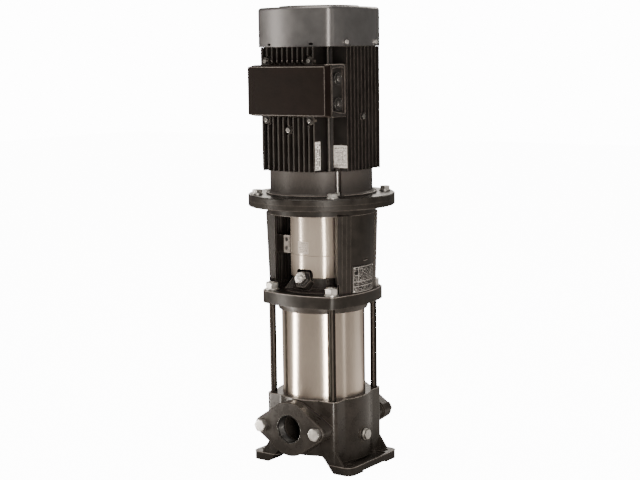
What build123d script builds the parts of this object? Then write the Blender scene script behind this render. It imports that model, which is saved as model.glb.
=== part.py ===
from build123d import *
from math import asin, cos, degrees, hypot, radians, sin, sqrt
import os

# A vertical multistage pump with its motor on top.
# The pump axis is Z, the floor is Z = 0, the inlet port looks along -Y and the outlet port along +Y.
# All sizes are millimetres.

# Base casting
base_half = 86.3
base_corner_radius = 11
base_bulge_radius = 98.5
base_bulge_fillet = 20
base_height = 146.5
arch_height = 31
arch_top_half = 55
arch_ankle_half = 74
arch_ankle_height = 9
arch_bottom_half = 84
foot_span = 250
foot_length = 176
foot_width = 65
foot_height = 17
foot_corner_radius = 17
foot_notch_length = 84
foot_notch_height = 3
anchor_spacing_x = 215
anchor_spacing_y = 130
anchor_hole_radius = 6.75
foot_pocket_depth = 5
foot_rim = 5
foot_pad_wall = 5
ankle_rib_height = 26
ankle_rib_reach = 16
ankle_rib_thickness = 5
ankle_rib_inset = 6

# Ports
port_height = 89
port_bore_radius = 28.3
port_face = 99
gasket_thickness = 1.5
flange_thickness = 25
flange_round_radius = 55.6
flange_tip_radius = 18
flange_boss_inset = 4
port_bolt_reach = 67.5
port_bolt_radius = 8
port_bolt_depth = 22

# Screws and nuts, flats across the hexagon
screw_play = 0.05
hole_clearance = 0.8
hex_flats = 24
hex_height = 10
drain_height = 66
drain_boss_radius = 16
drain_face = 100
plug_thread_radius = 6.5
plug_thread_length = 14
plug_seal_thickness = 1.5

# Sleeve and staybolts
sleeve_radius = 85.7
sleeve_wall = 2
sleeve_socket = 8
seal_section = 2.8
fit = 0.1
staybolt_spread = 74.5
staybolt_radius = 7
staybolt_engagement = 24
staybolt_tail = 3
washer_radius = 15
washer_thickness = 3
nut_height = 13

# Hydraulic stack
stage_count = 4
stage_pitch = 45
stack_seat_depth = 6.5
chamber_radius = 70
chamber_wall = 1.5
chamber_floor = 2
diaphragm_drop = 14
vane_thickness = 2
vane_count = 7
eye_radius = 31
skirt_wall = 2
neck_ring_wall = 3
neck_ring_height = 6
impeller_radius = 54
impeller_outlet = 8
impeller_lift = 3
shroud_thickness = 1.8
hub_radius = 13
top_plate_thickness = 2.5
running_gap = 0.6

# Pump head
head_rim_height = 14
head_rim_radius = 95.5
head_rim_taper = 4
head_cavity_radius = 80
head_wall = 8
spigot_radius = 79.8
spigot_height = 28
drum_radius = 60
drum_height = 26.5
head_rib_thickness = 4
shaft_gap = 2
seal_bore_radius = 21
seal_bore_depth = 16
priming_tilt = 30
priming_reach = 69
priming_drop = 3
priming_boss_flats = 34
priming_boss_length = 44
priming_hex_height = 11
vent_radius = 4

# Motor stool
stool_height = 210.5
stool_corner = 89.3
stool_middle = 107
stool_corner_radius = 24
stool_foot = 25
stool_bottom_radius = 104.6
stool_top_radius = 110
edge_band = 4.5
edge_band_angle = 5.4
edge_bands = 3
stool_inner_radius = 97
stool_pocket_radius = 103
stool_ring_height = 15
stool_flange = 11.6
window_half_angle = 51
drip_slot_depth = 2.5
large_flange_radius = 150
flange_bolt_radius = 6
flange_bolt_flats = 19
centring_radius = 115
centring_height = 4
flange_bolt_circle = (centring_radius + large_flange_radius) / 2

# Coupling and guards
guard_radius = 65
guard_sheet = 1.2
guard_edge = 31
guard_ear_width = 18.5
guard_ear_height = 37
guard_ear_bottom = 433
guard_notch = 17
lug_depth = 10
coupling_radius = 44
coupling_bottom_gap = 14
coupling_length = 96
coupling_split = 2
coupling_screw_spread = 31

# Shafts
pump_shaft_radius = 8
motor_shaft_radius = 19
shaft_seat_radius = 20
rotor_shaft_radius = 23
fan_seat_radius = 14

# Motor
motor_flange = 12.2
neck_height = 50.6
neck_radius = 104.5
neck_inner_radius = 88
groove_width = 13
groove_depth = 11
groove_angle = 35.8
stud_engagement = 5
stud_radius = 2.75
housing_length = 244.4
housing_radius = 92
housing_bore = 85
fin_thickness = 3
fin_pitch = 12.5
fin_reach_front = 110
fin_reach_side = 106
front_fins = 11
side_fins = 10
front_boss_height = 82
side_boss_height = 106
boss_sunk = 3
tie_bolt_offset = 69.5
tie_bolt_radius = 4
core_length = 140
core_start = 42
core_bore = 48.5
air_gap = 0.5
winding_height = 26
bearing_outer_radius = 45
bearing_width = 23
ball_circle = 32.5
ball_radius = 7.5
ball_count = 7
shield_thickness = 14

# Terminal box
pad_reach = 102
box_left = -82
box_right = 104.5
box_bottom_gap = 108.2
box_height = 102
box_base_depth = 7
lid_depth = 25
lid_draft = 4.5
lid_bulge = 3
lid_wall = 3
tab_spread = 53.5
tab_radius = 8
tab_overhang = 6.5
wing_inner = 76
wing_back = 60
entry_radius = 12.5

# Fan cover
cover_corner = 88.8
cover_middle = 105.5
cover_corner_radius = 22
cover_height = 78
cover_dome = 3
cover_wall = 2
cover_gap = 0.3
cover_screw_spread = 51
cover_screw_height = 8
cover_screw_radius = 2.5
grille_start = 20
grille_pitch = 11
grille_slot = 7
grille_slots = 5
grille_spoke = 5

# Heights of the seats, worked out from the sizes above
stack_bottom = base_height - stack_seat_depth
stack_top = stack_bottom + stage_count * stage_pitch
head_bottom = stack_top + top_plate_thickness
stool_bottom = head_bottom + head_rim_height
stool_foot_top = stool_bottom + stool_foot
spigot_top = stool_bottom + spigot_height
drum_top = spigot_top + drum_height
stool_top = stool_bottom + stool_height
stool_ring_bottom = stool_top - stool_flange - stool_ring_height
motor_flange_top = stool_top + motor_flange
housing_bottom = motor_flange_top + neck_height
housing_top = housing_bottom + housing_length
cover_bottom = housing_top + cover_gap
coupling_bottom = drum_top + coupling_bottom_gap
coupling_top = coupling_bottom + coupling_length
guard_top = stool_ring_bottom
flange_back = port_face + gasket_thickness
flange_front = flange_back + flange_thickness
foot_x = (foot_span - foot_width) / 2
box_bottom = housing_bottom + box_bottom_gap
box_top = box_bottom + box_height
lid_back = pad_reach + box_base_depth
bearing_low = housing_bottom - bearing_width - 6
bearing_high = housing_top + 2

os.makedirs("parts", exist_ok=True)


def save(builder, name):
    builder.part.label = name
    export_step(builder.part, f"parts/{name}.step")


def on_circle(radius, angle):
    # a point at an angle in degrees on a circle about the axis
    return (radius * cos(radians(angle)), radius * sin(radians(angle)))


def bulged_square(corner, middle, corner_radius):
    # a square whose four sides bow outward, with rounded corners
    corners = [(-corner, -corner), (corner, -corner), (corner, corner), (-corner, corner)]
    middles = [(0, -middle), (middle, 0), (0, middle), (-middle, 0)]
    with BuildSketch() as outline:
        with BuildLine():
            for side in range(4):
                ThreePointArc(corners[side], middles[side], corners[(side + 1) % 4])
        make_face()
        fillet(outline.vertices(), corner_radius)
    return outline.sketch


def hex_screw(flats, height, radius, length, collar=0, collar_height=0):
    # head upward from Z = 0 with the turned chamfer of a real hexagon, shank downward
    with BuildPart() as screw:
        with BuildSketch(Plane.XY.offset(collar_height)):
            RegularPolygon(flats / 2, 6, major_radius=False)
        extrude(amount=height)
        with BuildSketch(Plane.XZ):
            with BuildLine():
                Polyline(
                    (0, 0),
                    (flats, 0),
                    (flats, collar_height + height - flats * 0.28),
                    (flats * 0.46, collar_height + height),
                    (0, collar_height + height),
                    close=True,
                )
            make_face()
        revolve(axis=Axis.Z, mode=Mode.INTERSECT)
        if collar > 0:
            Cylinder(collar, collar_height, align=(Align.CENTER, Align.CENTER, Align.MIN))
        Cylinder(radius, length, align=(Align.CENTER, Align.CENTER, Align.MAX))
    return screw.part


def oval_outline(inset):
    # the two bolt pipe flange seen along the port, shrunk by the inset
    with BuildSketch() as oval:
        Circle(flange_round_radius - inset)
        with Locations((port_bolt_reach, 0), (-port_bolt_reach, 0)):
            Circle(flange_tip_radius - inset)
        make_hull()
    return oval.sketch


def upright_plane(angle):
    # the plane through the axis at an angle in degrees, its own Y runs up
    along = (cos(radians(angle)), sin(radians(angle)), 0)
    return Plane(origin=(0, 0, 0), x_dir=along, z_dir=(along[1], -along[0], 0))


def port_plane(side, distance):
    # a plane square to the port axis that looks outward, side -1 is the inlet
    return Plane(origin=(0, side * distance, port_height), x_dir=(-side, 0, 0), z_dir=(0, side, 0))




def four_corners(spread):
    # the same place in each quarter of the pump
    return [(x, y) for x in (-spread, spread) for y in (-spread, spread)]


staybolt_places = four_corners(staybolt_spread)
sleeve_groove_radius = sleeve_radius + seal_section
sleeve_bottom = base_height - sleeve_socket
sleeve_top = head_bottom + sleeve_socket
cast_bore = sleeve_radius - sleeve_wall

# Base casting
boss_outline = oval_outline(flange_boss_inset)
annulus_bottom = port_height + port_bore_radius + 5
with BuildPart() as pump_base:
    with BuildSketch() as base_plan:
        RectangleRounded(2 * base_half, 2 * base_half, base_corner_radius)
        Circle(base_bulge_radius)
        bulge_ends = [v for v in base_plan.vertices() if abs(hypot(v.X, v.Y) - base_bulge_radius) < 0.01]
        fillet(bulge_ends, base_bulge_fillet)
    extrude(amount=base_height)
    with BuildSketch():
        with Locations((foot_x, 0), (-foot_x, 0)):
            RectangleRounded(foot_width, foot_length, foot_corner_radius)
    extrude(amount=foot_height)
    # thin ribs from the corners of the body down to the foot bars
    rib_y = base_half - ankle_rib_inset
    for side in (-1, 1):
        for y in (-rib_y, rib_y):
            with BuildSketch(Plane(origin=(0, y, 0), x_dir=(side, 0, 0), z_dir=(0, -side, 0))):
                with BuildLine():
                    Polyline(
                        (base_half - base_corner_radius, foot_height - 1),
                        (base_half - base_corner_radius, foot_height + ankle_rib_height),
                        (base_half - 2, foot_height + ankle_rib_height),
                        (base_half + ankle_rib_reach, foot_height),
                        (base_half + ankle_rib_reach, foot_height - 1),
                        close=True,
                    )
                make_face()
            extrude(amount=ankle_rib_thickness / 2, both=True)
    for side in (-1, 1):
        with BuildSketch(port_plane(side, port_face)):
            add(boss_outline)
        extrude(amount=base_half - port_face - 30)
    with BuildSketch(Plane.YZ.offset(base_half)):
        with Locations((0, drain_height)):
            Circle(drain_boss_radius)
    extrude(amount=drain_face - base_half)
    # arch under the ports, with the legs spreading to the foot bars
    with BuildSketch(Plane.XZ) as arch:
        with BuildLine():
            Polyline(
                (-arch_bottom_half, -1),
                (-arch_ankle_half, arch_ankle_height),
                (-arch_top_half, arch_height),
                (arch_top_half, arch_height),
                (arch_ankle_half, arch_ankle_height),
                (arch_bottom_half, -1),
                close=True,
            )
        make_face()
        fillet(arch.vertices().group_by(Axis.Y)[-1], 10)
    extrude(amount=foot_length, both=True, mode=Mode.SUBTRACT)
    # the foot bars stand on pads at their ends
    with Locations((0, 0, 0)):
        Box(2 * foot_span, foot_notch_length, 2 * foot_notch_height, mode=Mode.SUBTRACT)
    pocket_width = foot_span / 2 - base_half - foot_rim - 2
    pocket_length = anchor_spacing_y - 2 * (anchor_hole_radius + foot_pad_wall)
    with BuildSketch(Plane.XY.offset(foot_height)):
        for side in (-1, 1):
            with Locations((side * (base_half + 2 + pocket_width / 2), 0)):
                RectangleRounded(pocket_width, pocket_length, 8)
    extrude(amount=-foot_pocket_depth, mode=Mode.SUBTRACT)
    with Locations(Plane.XY.offset(foot_height)):
        with GridLocations(anchor_spacing_x, anchor_spacing_y, 2, 2):
            Hole(anchor_hole_radius, foot_height)
    # waterways: inlet up to the first eye, outlet down from the ring around the stack
    for side in (-1, 1):
        with BuildSketch(port_plane(side, port_face)):
            Circle(port_bore_radius)
        extrude(amount=-(port_face if side < 0 else port_face / 2), mode=Mode.SUBTRACT)
        with BuildSketch(port_plane(side, port_face)):
            with Locations((port_bolt_reach, 0), (-port_bolt_reach, 0)):
                Circle(port_bolt_radius + screw_play)
        extrude(amount=-port_bolt_depth - 2, mode=Mode.SUBTRACT)
    with BuildSketch(Plane.XY.offset(port_height)):
        Circle(eye_radius + skirt_wall + neck_ring_wall - 2)
    extrude(amount=base_height, mode=Mode.SUBTRACT)
    with BuildSketch(Plane.XY.offset(stack_bottom)):
        Circle(cast_bore)
    extrude(amount=base_height, mode=Mode.SUBTRACT)
    with BuildSketch(Plane.XY.offset(annulus_bottom)):
        Circle(cast_bore)
        Circle(chamber_radius + 1, mode=Mode.SUBTRACT)
    extrude(amount=base_height, mode=Mode.SUBTRACT)
    with BuildSketch(Plane.XY.offset(port_height)):
        Circle(cast_bore)
        with Locations((0, port_face / 2 + 30)):
            Rectangle(2 * port_bore_radius + 20, 54, mode=Mode.INTERSECT)
    extrude(amount=stack_bottom - port_height - 9, mode=Mode.SUBTRACT)
    with BuildSketch(Plane.XY.offset(sleeve_bottom)):
        Circle(sleeve_radius + fit)
    extrude(amount=base_height, mode=Mode.SUBTRACT)
    with BuildSketch(Plane.XY.offset(sleeve_bottom + 2)):
        Circle(sleeve_groove_radius)
    extrude(amount=seal_section, mode=Mode.SUBTRACT)
    with Locations(Plane.XY.offset(base_height)):
        with Locations(*staybolt_places):
            Hole(staybolt_radius + screw_play, staybolt_engagement + 4)
    with BuildSketch(Plane.YZ.offset(drain_face)):
        with Locations((0, drain_height)):
            Circle(plug_thread_radius + screw_play)
    extrude(amount=-drain_face + 8, mode=Mode.SUBTRACT)
save(pump_base, "pump_base")

# Oval port flanges with their gaskets and bolts
flange_outline = oval_outline(0)
for side, name in ((-1, "inlet_flange"), (1, "outlet_flange")):
    with BuildPart() as port_flange:
        with BuildSketch(port_plane(side, flange_back)):
            add(flange_outline)
        extrude(amount=flange_thickness)
        chamfer(port_flange.faces().sort_by(Axis.Y)[-1 if side > 0 else 0].outer_wire().edges(), 1.5)
        with BuildSketch(port_plane(side, flange_back)):
            Circle(port_bore_radius)
            with Locations((port_bolt_reach, 0), (-port_bolt_reach, 0)):
                Circle(port_bolt_radius + hole_clearance)
        extrude(amount=flange_thickness, mode=Mode.SUBTRACT)
        with BuildSketch(port_plane(side, flange_front)):
            Circle(port_bore_radius + 2)
        extrude(amount=-2, taper=44, mode=Mode.SUBTRACT)
    save(port_flange, name)

with BuildPart() as port_gaskets:
    for side in (-1, 1):
        with BuildSketch(port_plane(side, port_face)):
            add(boss_outline)
            Circle(port_bore_radius + 1, mode=Mode.SUBTRACT)
            with Locations((port_bolt_reach, 0), (-port_bolt_reach, 0)):
                Circle(port_bolt_radius + hole_clearance, mode=Mode.SUBTRACT)
        extrude(amount=gasket_thickness)
save(port_gaskets, "port_gaskets")

port_bolt = hex_screw(hex_flats, hex_height, port_bolt_radius, flange_front - port_face + port_bolt_depth)
with BuildPart() as port_flange_bolts:
    for side in (-1, 1):
        with Locations(port_plane(side, flange_front)):
            with Locations((port_bolt_reach, 0), (-port_bolt_reach, 0)):
                add(port_bolt)
save(port_flange_bolts, "port_flange_bolts")

# Drain plug and the seals of both plugs
drain_plane = Plane(origin=(drain_face, 0, drain_height), x_dir=(0, 1, 0), z_dir=(1, 0, 0))
priming_axis = (0, -cos(radians(priming_tilt)), sin(radians(priming_tilt)))
priming_origin = (0, -priming_reach, drum_top - priming_drop)
priming_plane = Plane(origin=priming_origin, x_dir=(1, 0, 0), z_dir=priming_axis)
drain_screw = hex_screw(hex_flats - 4, 6, plug_thread_radius, plug_thread_length, 12, 2.5)
with BuildPart() as drain_plug:
    with Locations(drain_plane.offset(plug_seal_thickness)):
        add(drain_screw)
save(drain_plug, "drain_plug")

with BuildPart() as plug_seals:
    for plane, radius in ((drain_plane, plug_thread_radius), (priming_plane, vent_radius + 6)):
        with BuildSketch(plane):
            Circle(radius + 4)
            Circle(radius + 2 * screw_play, mode=Mode.SUBTRACT)
        extrude(amount=plug_seal_thickness)
save(plug_seals, "plug_seals")

# Outer sleeve and its two O-rings
with BuildPart() as outer_sleeve:
    with BuildSketch(Plane.XY.offset(sleeve_bottom)):
        Circle(sleeve_radius)
        Circle(sleeve_radius - sleeve_wall, mode=Mode.SUBTRACT)
    extrude(amount=sleeve_top - sleeve_bottom)
    chamfer(outer_sleeve.edges().filter_by(GeomType.CIRCLE).group_by(SortBy.RADIUS)[-1], 0.8)
save(outer_sleeve, "outer_sleeve")

with BuildPart() as sleeve_seals:
    for bottom in (sleeve_bottom + 2, sleeve_top - 2 - seal_section):
        with BuildSketch(Plane.XY.offset(bottom)):
            Circle(sleeve_groove_radius)
            Circle(sleeve_radius, mode=Mode.SUBTRACT)
        extrude(amount=seal_section)
save(sleeve_seals, "sleeve_seals")

# Staybolts from the base to the stool foot
staybolt_top = stool_foot_top + washer_thickness + nut_height + staybolt_tail
with BuildPart() as staybolts:
    with BuildSketch(Plane.XY.offset(base_height - staybolt_engagement)):
        with Locations(*staybolt_places):
            Circle(staybolt_radius)
    extrude(amount=staybolt_top - base_height + staybolt_engagement)
    chamfer(staybolts.edges().filter_by(GeomType.CIRCLE).group_by(Axis.Z)[-1], 1.2)
save(staybolts, "staybolts")

with BuildPart() as staybolt_washers:
    with BuildSketch(Plane.XY.offset(stool_foot_top)):
        with Locations(*staybolt_places):
            Circle(washer_radius)
            Circle(staybolt_radius + hole_clearance, mode=Mode.SUBTRACT)
    extrude(amount=washer_thickness)
save(staybolt_washers, "staybolt_washers")

with BuildPart() as one_nut:
    with BuildSketch():
        RegularPolygon(hex_flats / 2, 6, major_radius=False)
    extrude(amount=nut_height)
    with BuildSketch(Plane.XZ):
        with BuildLine():
            Polyline(
                (0, 0),
                (hex_flats * 0.5, 0),
                (hex_flats * 0.6, 2),
                (hex_flats * 0.6, nut_height - 2),
                (hex_flats * 0.48, nut_height),
                (0, nut_height),
                close=True,
            )
        make_face()
    revolve(axis=Axis.Z, mode=Mode.INTERSECT)
    Hole(staybolt_radius + screw_play)
with BuildPart() as staybolt_nuts:
    with Locations(Plane.XY.offset(stool_foot_top + washer_thickness)):
        with Locations(*staybolt_places):
            add(one_nut.part)
save(staybolt_nuts, "staybolt_nuts")

# Hydraulic stack
skirt_radius = eye_radius + skirt_wall
neck_outer = skirt_radius + running_gap + neck_ring_wall


def blade_sketch(inner, outer, sweep, count, thickness, clockwise):
    # blades that curve from the inner to the outer radius, laid out around the axis
    turn = -1 if clockwise else 1
    with BuildSketch() as blades:
        with PolarLocations(0, count):
            with BuildLine():
                start = (inner, 0)
                middle_radius = (inner + outer) / 2
                middle = on_circle(middle_radius, turn * sweep * 0.35)
                end = on_circle(outer, turn * sweep)
                centre_line = ThreePointArc(start, middle, end)
                offset(centre_line, amount=thickness / 2, kind=Kind.ARC)
            make_face()
    return blades.sketch


def make_chamber(number):
    bottom = stack_bottom + (number - 1) * stage_pitch
    with BuildPart() as chamber:
        with BuildSketch(Plane.XY.offset(bottom)):
            Circle(chamber_radius)
            Circle(neck_outer, mode=Mode.SUBTRACT)
        extrude(amount=chamber_floor)
        with BuildSketch(Plane.XY.offset(bottom + chamber_floor)):
            Circle(chamber_radius)
            Circle(chamber_radius - chamber_wall, mode=Mode.SUBTRACT)
        extrude(amount=stage_pitch - chamber_floor)
        with BuildSketch(Plane.XY.offset(bottom)):
            Circle(neck_outer + 2)
            Circle(neck_outer, mode=Mode.SUBTRACT)
        extrude(amount=neck_ring_height + chamber_floor)
        if number > 1:
            # return vanes and their diaphragm hang from the floor, inside the chamber below
            with BuildSketch(Plane.XY.offset(bottom - diaphragm_drop)):
                add(return_vanes)
            extrude(amount=diaphragm_drop)
            with BuildSketch(Plane.XY.offset(bottom - diaphragm_drop)):
                Circle(impeller_radius + 4)
                Circle(hub_radius + running_gap + 1, mode=Mode.SUBTRACT)
            extrude(amount=chamber_floor)
    save(chamber, f"chamber_{number}")


vane_tip = chamber_radius - chamber_wall - 3
return_vanes = blade_sketch(neck_outer + 1.5, vane_tip, 40, vane_count, vane_thickness, True)
for number in range(1, stage_count + 1):
    make_chamber(number)

with BuildPart() as stack_top_plate:
    with BuildSketch(Plane.XY.offset(stack_top)):
        Circle(chamber_radius)
        Circle(neck_outer, mode=Mode.SUBTRACT)
    extrude(amount=top_plate_thickness)
    with BuildSketch(Plane.XY.offset(stack_top - diaphragm_drop)):
        add(return_vanes)
    extrude(amount=diaphragm_drop)
    with BuildSketch(Plane.XY.offset(stack_top - diaphragm_drop)):
        Circle(impeller_radius + 4)
        Circle(hub_radius + running_gap + 1, mode=Mode.SUBTRACT)
    extrude(amount=chamber_floor)
save(stack_top_plate, "stack_top_plate")

with BuildPart() as neck_rings:
    for number in range(stage_count):
        with BuildSketch(Plane.XY.offset(stack_bottom + number * stage_pitch + chamber_floor)):
            Circle(neck_outer)
            Circle(skirt_radius + running_gap, mode=Mode.SUBTRACT)
        extrude(amount=neck_ring_height)
save(neck_rings, "neck_rings")

impeller_blades = blade_sketch(hub_radius + 6, impeller_radius - 0.5, 70, vane_count, vane_thickness, False)


def make_impeller(number):
    bottom = stack_bottom + (number - 1) * stage_pitch + impeller_lift
    shroud_bottom = bottom + neck_ring_height + chamber_floor
    outlet_bottom = shroud_bottom + shroud_thickness
    outlet_top = outlet_bottom + impeller_outlet
    with BuildPart() as impeller:
        # skirt and lower shroud around the eye
        with BuildSketch(Plane.XZ):
            with BuildLine():
                Polyline(
                    (eye_radius, bottom),
                    (skirt_radius, bottom),
                    (skirt_radius, shroud_bottom),
                    (impeller_radius, shroud_bottom),
                    (impeller_radius, outlet_bottom),
                    (eye_radius, outlet_bottom),
                    close=True,
                )
            make_face()
        revolve(axis=Axis.Z)
        with BuildSketch(Plane.XY.offset(outlet_bottom)):
            add(impeller_blades)
        extrude(amount=impeller_outlet)
        # hub shroud and the hub, as long as the stage, that spaces the next impeller
        with BuildSketch(Plane.XZ):
            with BuildLine():
                Polyline(
                    (pump_shaft_radius + screw_play, bottom),
                    (hub_radius - 2, bottom),
                    (hub_radius, bottom + 6),
                    (hub_radius, outlet_top - 4),
                    (hub_radius + 5, outlet_top),
                    (impeller_radius, outlet_top),
                    (impeller_radius, outlet_top + shroud_thickness),
                    (hub_radius, outlet_top + shroud_thickness),
                    (hub_radius, bottom + stage_pitch - 2),
                    (hub_radius - 2, bottom + stage_pitch),
                    (pump_shaft_radius + screw_play, bottom + stage_pitch),
                    close=True,
                )
            make_face()
        revolve(axis=Axis.Z)
    save(impeller, f"impeller_{number}")


for number in range(1, stage_count + 1):
    make_impeller(number)

# Pump head between the sleeve and the stool
cavity_top = spigot_top - head_wall
with BuildPart() as pump_head:
    with BuildSketch(Plane.XZ):
        with BuildLine():
            Polyline(
                (pump_shaft_radius + shaft_gap, cavity_top),
                (head_cavity_radius - 12, cavity_top),
                (head_cavity_radius - 12, stool_bottom),
                (head_cavity_radius, stool_bottom - 4),
                (head_cavity_radius, sleeve_top),
                (sleeve_radius + fit, sleeve_top),
                (sleeve_radius + fit, head_bottom),
                (head_rim_radius - head_rim_taper, head_bottom),
                (head_rim_radius, stool_bottom - 3),
                (head_rim_radius, stool_bottom),
                (spigot_radius, stool_bottom),
                (spigot_radius, spigot_top - 2),
                (spigot_radius - 3, spigot_top),
                (drum_radius + 4, spigot_top),
                (drum_radius, spigot_top + 4),
                (drum_radius, drum_top - 2),
                (drum_radius - 2, drum_top),
                (seal_bore_radius, drum_top),
                (seal_bore_radius, drum_top - seal_bore_depth),
                (pump_shaft_radius + shaft_gap, drum_top - seal_bore_depth),
                close=True,
            )
        make_face()
    revolve(axis=Axis.Z)
    with BuildSketch(Plane.XY.offset(sleeve_top - 2 - seal_section)):
        Circle(sleeve_groove_radius)
        Circle(sleeve_radius, mode=Mode.SUBTRACT)
    extrude(amount=seal_section, mode=Mode.SUBTRACT)
    # four legs press the stack down from the roof of the cavity
    with BuildSketch(Plane.XY.offset(stack_top + top_plate_thickness)):
        Circle(head_cavity_radius - 13)
        Circle(head_cavity_radius - 22, mode=Mode.SUBTRACT)
        Rectangle(2 * head_cavity_radius, 60, mode=Mode.SUBTRACT)
        Rectangle(60, 2 * head_cavity_radius, mode=Mode.SUBTRACT)
    extrude(amount=cavity_top - stack_top - top_plate_thickness + 1)
    # priming boss, hexagonal, and ribs from the drum out to the corners
    with BuildSketch(priming_plane):
        RegularPolygon(priming_boss_flats / 2, 6, major_radius=False)
    extrude(amount=-priming_boss_length)
    for angle in (-135, -45, 45, 135):
        with BuildSketch(upright_plane(angle)):
            with BuildLine():
                Polyline(
                    (drum_radius - 6, spigot_top - 1),
                    (drum_radius - 6, drum_top - 4),
                    (drum_radius + 1, drum_top - 4),
                    (spigot_radius - 2, spigot_top + 1),
                    (spigot_radius - 2, spigot_top - 1),
                    close=True,
                )
            make_face()
        extrude(amount=head_rib_thickness / 2, both=True)
    with BuildSketch(priming_plane):
        Circle(vent_radius + 6 + screw_play)
    extrude(amount=-priming_boss_length, mode=Mode.SUBTRACT)
save(pump_head, "pump_head")

# Priming plug with the vent screw in its middle
plug_bore = vent_radius + screw_play
plug_head = hex_screw(hex_flats, priming_hex_height, vent_radius + 6, plug_thread_length)
with BuildPart() as priming_plug:
    with Locations(priming_plane.offset(plug_seal_thickness)):
        add(plug_head)
    with BuildSketch(priming_plane.offset(plug_seal_thickness + priming_hex_height)):
        Circle(plug_bore)
    extrude(amount=-priming_hex_height - plug_thread_length, mode=Mode.SUBTRACT)
    with BuildSketch(priming_plane.offset(plug_seal_thickness - plug_thread_length + 4)):
        Circle(plug_bore + 2)
    extrude(amount=-4, mode=Mode.SUBTRACT)
save(priming_plug, "priming_plug")

vent_face = priming_plane.offset(plug_seal_thickness + priming_hex_height)
with BuildPart() as vent_screw:
    with BuildSketch(vent_face):
        RegularPolygon(vent_radius + 1, 6, major_radius=False)
    extrude(amount=4)
    with BuildSketch(vent_face):
        Circle(vent_radius)
    extrude(amount=-priming_hex_height - 6)
    with BuildSketch(vent_face.offset(4)):
        Rectangle(3 * vent_radius, 1.4)
    extrude(amount=-1.6, mode=Mode.SUBTRACT)
save(vent_screw, "vent_screw")

# Cartridge shaft seal, the seat screwed into the head and the ring on the shaft
seal_top = drum_top + 5
with BuildPart() as shaft_seal_seat:
    with BuildSketch(Plane.XY.offset(drum_top - seal_bore_depth)):
        Circle(seal_bore_radius - screw_play)
        Circle(pump_shaft_radius + shaft_gap, mode=Mode.SUBTRACT)
    extrude(amount=seal_bore_depth)
    with BuildSketch(Plane.XY.offset(drum_top)):
        RegularPolygon(seal_bore_radius + 2, 6, major_radius=False)
        Circle(pump_shaft_radius + shaft_gap, mode=Mode.SUBTRACT)
    extrude(amount=seal_top - drum_top)
save(shaft_seal_seat, "shaft_seal_seat")

with BuildPart() as shaft_seal_ring:
    with BuildSketch(Plane.XY.offset(seal_top + 0.3)):
        Circle(pump_shaft_radius + 6)
        Circle(pump_shaft_radius + screw_play, mode=Mode.SUBTRACT)
    extrude(amount=coupling_bottom - seal_top - 1)
save(shaft_seal_ring, "shaft_seal_ring")

# Motor stool
stool_outline = bulged_square(stool_corner, stool_middle, stool_corner_radius)
flange_bolt_places = [on_circle(flange_bolt_circle, 45 + 90 * quarter) for quarter in range(4)]


def sector(inner, outer, start, end):
    # a piece of a flat ring between two angles
    with BuildSketch() as piece:
        with BuildLine():
            low = CenterArc((0, 0), inner, start, end - start)
            high = CenterArc((0, 0), outer, start, end - start)
            Line(low @ 0, high @ 0)
            Line(low @ 1, high @ 1)
        make_face()
    return piece.sketch


window_sectors = []
band_places = []
for middle in (-90, 90):
    window_start = middle - window_half_angle
    window_end = middle + window_half_angle
    window_sectors.append(sector(stool_inner_radius - 40, large_flange_radius, window_start, window_end))
    for side in (-1, 1):
        edge = middle + side * window_half_angle
        for number in range(1, edge_bands + 1):
            ends = sorted((edge, edge + side * edge_band_angle * number))
            raised = edge_band * (edge_bands + 1 - number) / edge_bands
            band_places.append((ends, raised))
pocket_sectors = []
for middle in (0, 180):
    for number in range(-2, 3):
        start = middle + 14 * number - 5.5
        pocket_sectors.append(sector(stool_inner_radius - 4, stool_pocket_radius, start, start + 11))
lug_far = sqrt(stool_pocket_radius**2 - (guard_edge - lug_depth) ** 2)
lug_near = guard_radius * 0.9
lug_y = guard_edge - guard_sheet - lug_depth / 2
guard_screw_radius = 2
guard_screw_x = guard_radius + guard_screw_radius - 1
guard_screw_places = [
    (side * guard_screw_x, guard_ear_bottom + guard_ear_height * share)
    for side in (-1, 1)
    for share in (0.25, 0.75)
]
wall_slope = (stool_top_radius - stool_bottom_radius) / (stool_ring_bottom - stool_foot_top)
plate_angle = -0.5
plate_half = 19.2
plate_bottom = stool_foot_top + 1.5
plate_height = 54
plate_sheet = 0.8
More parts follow.
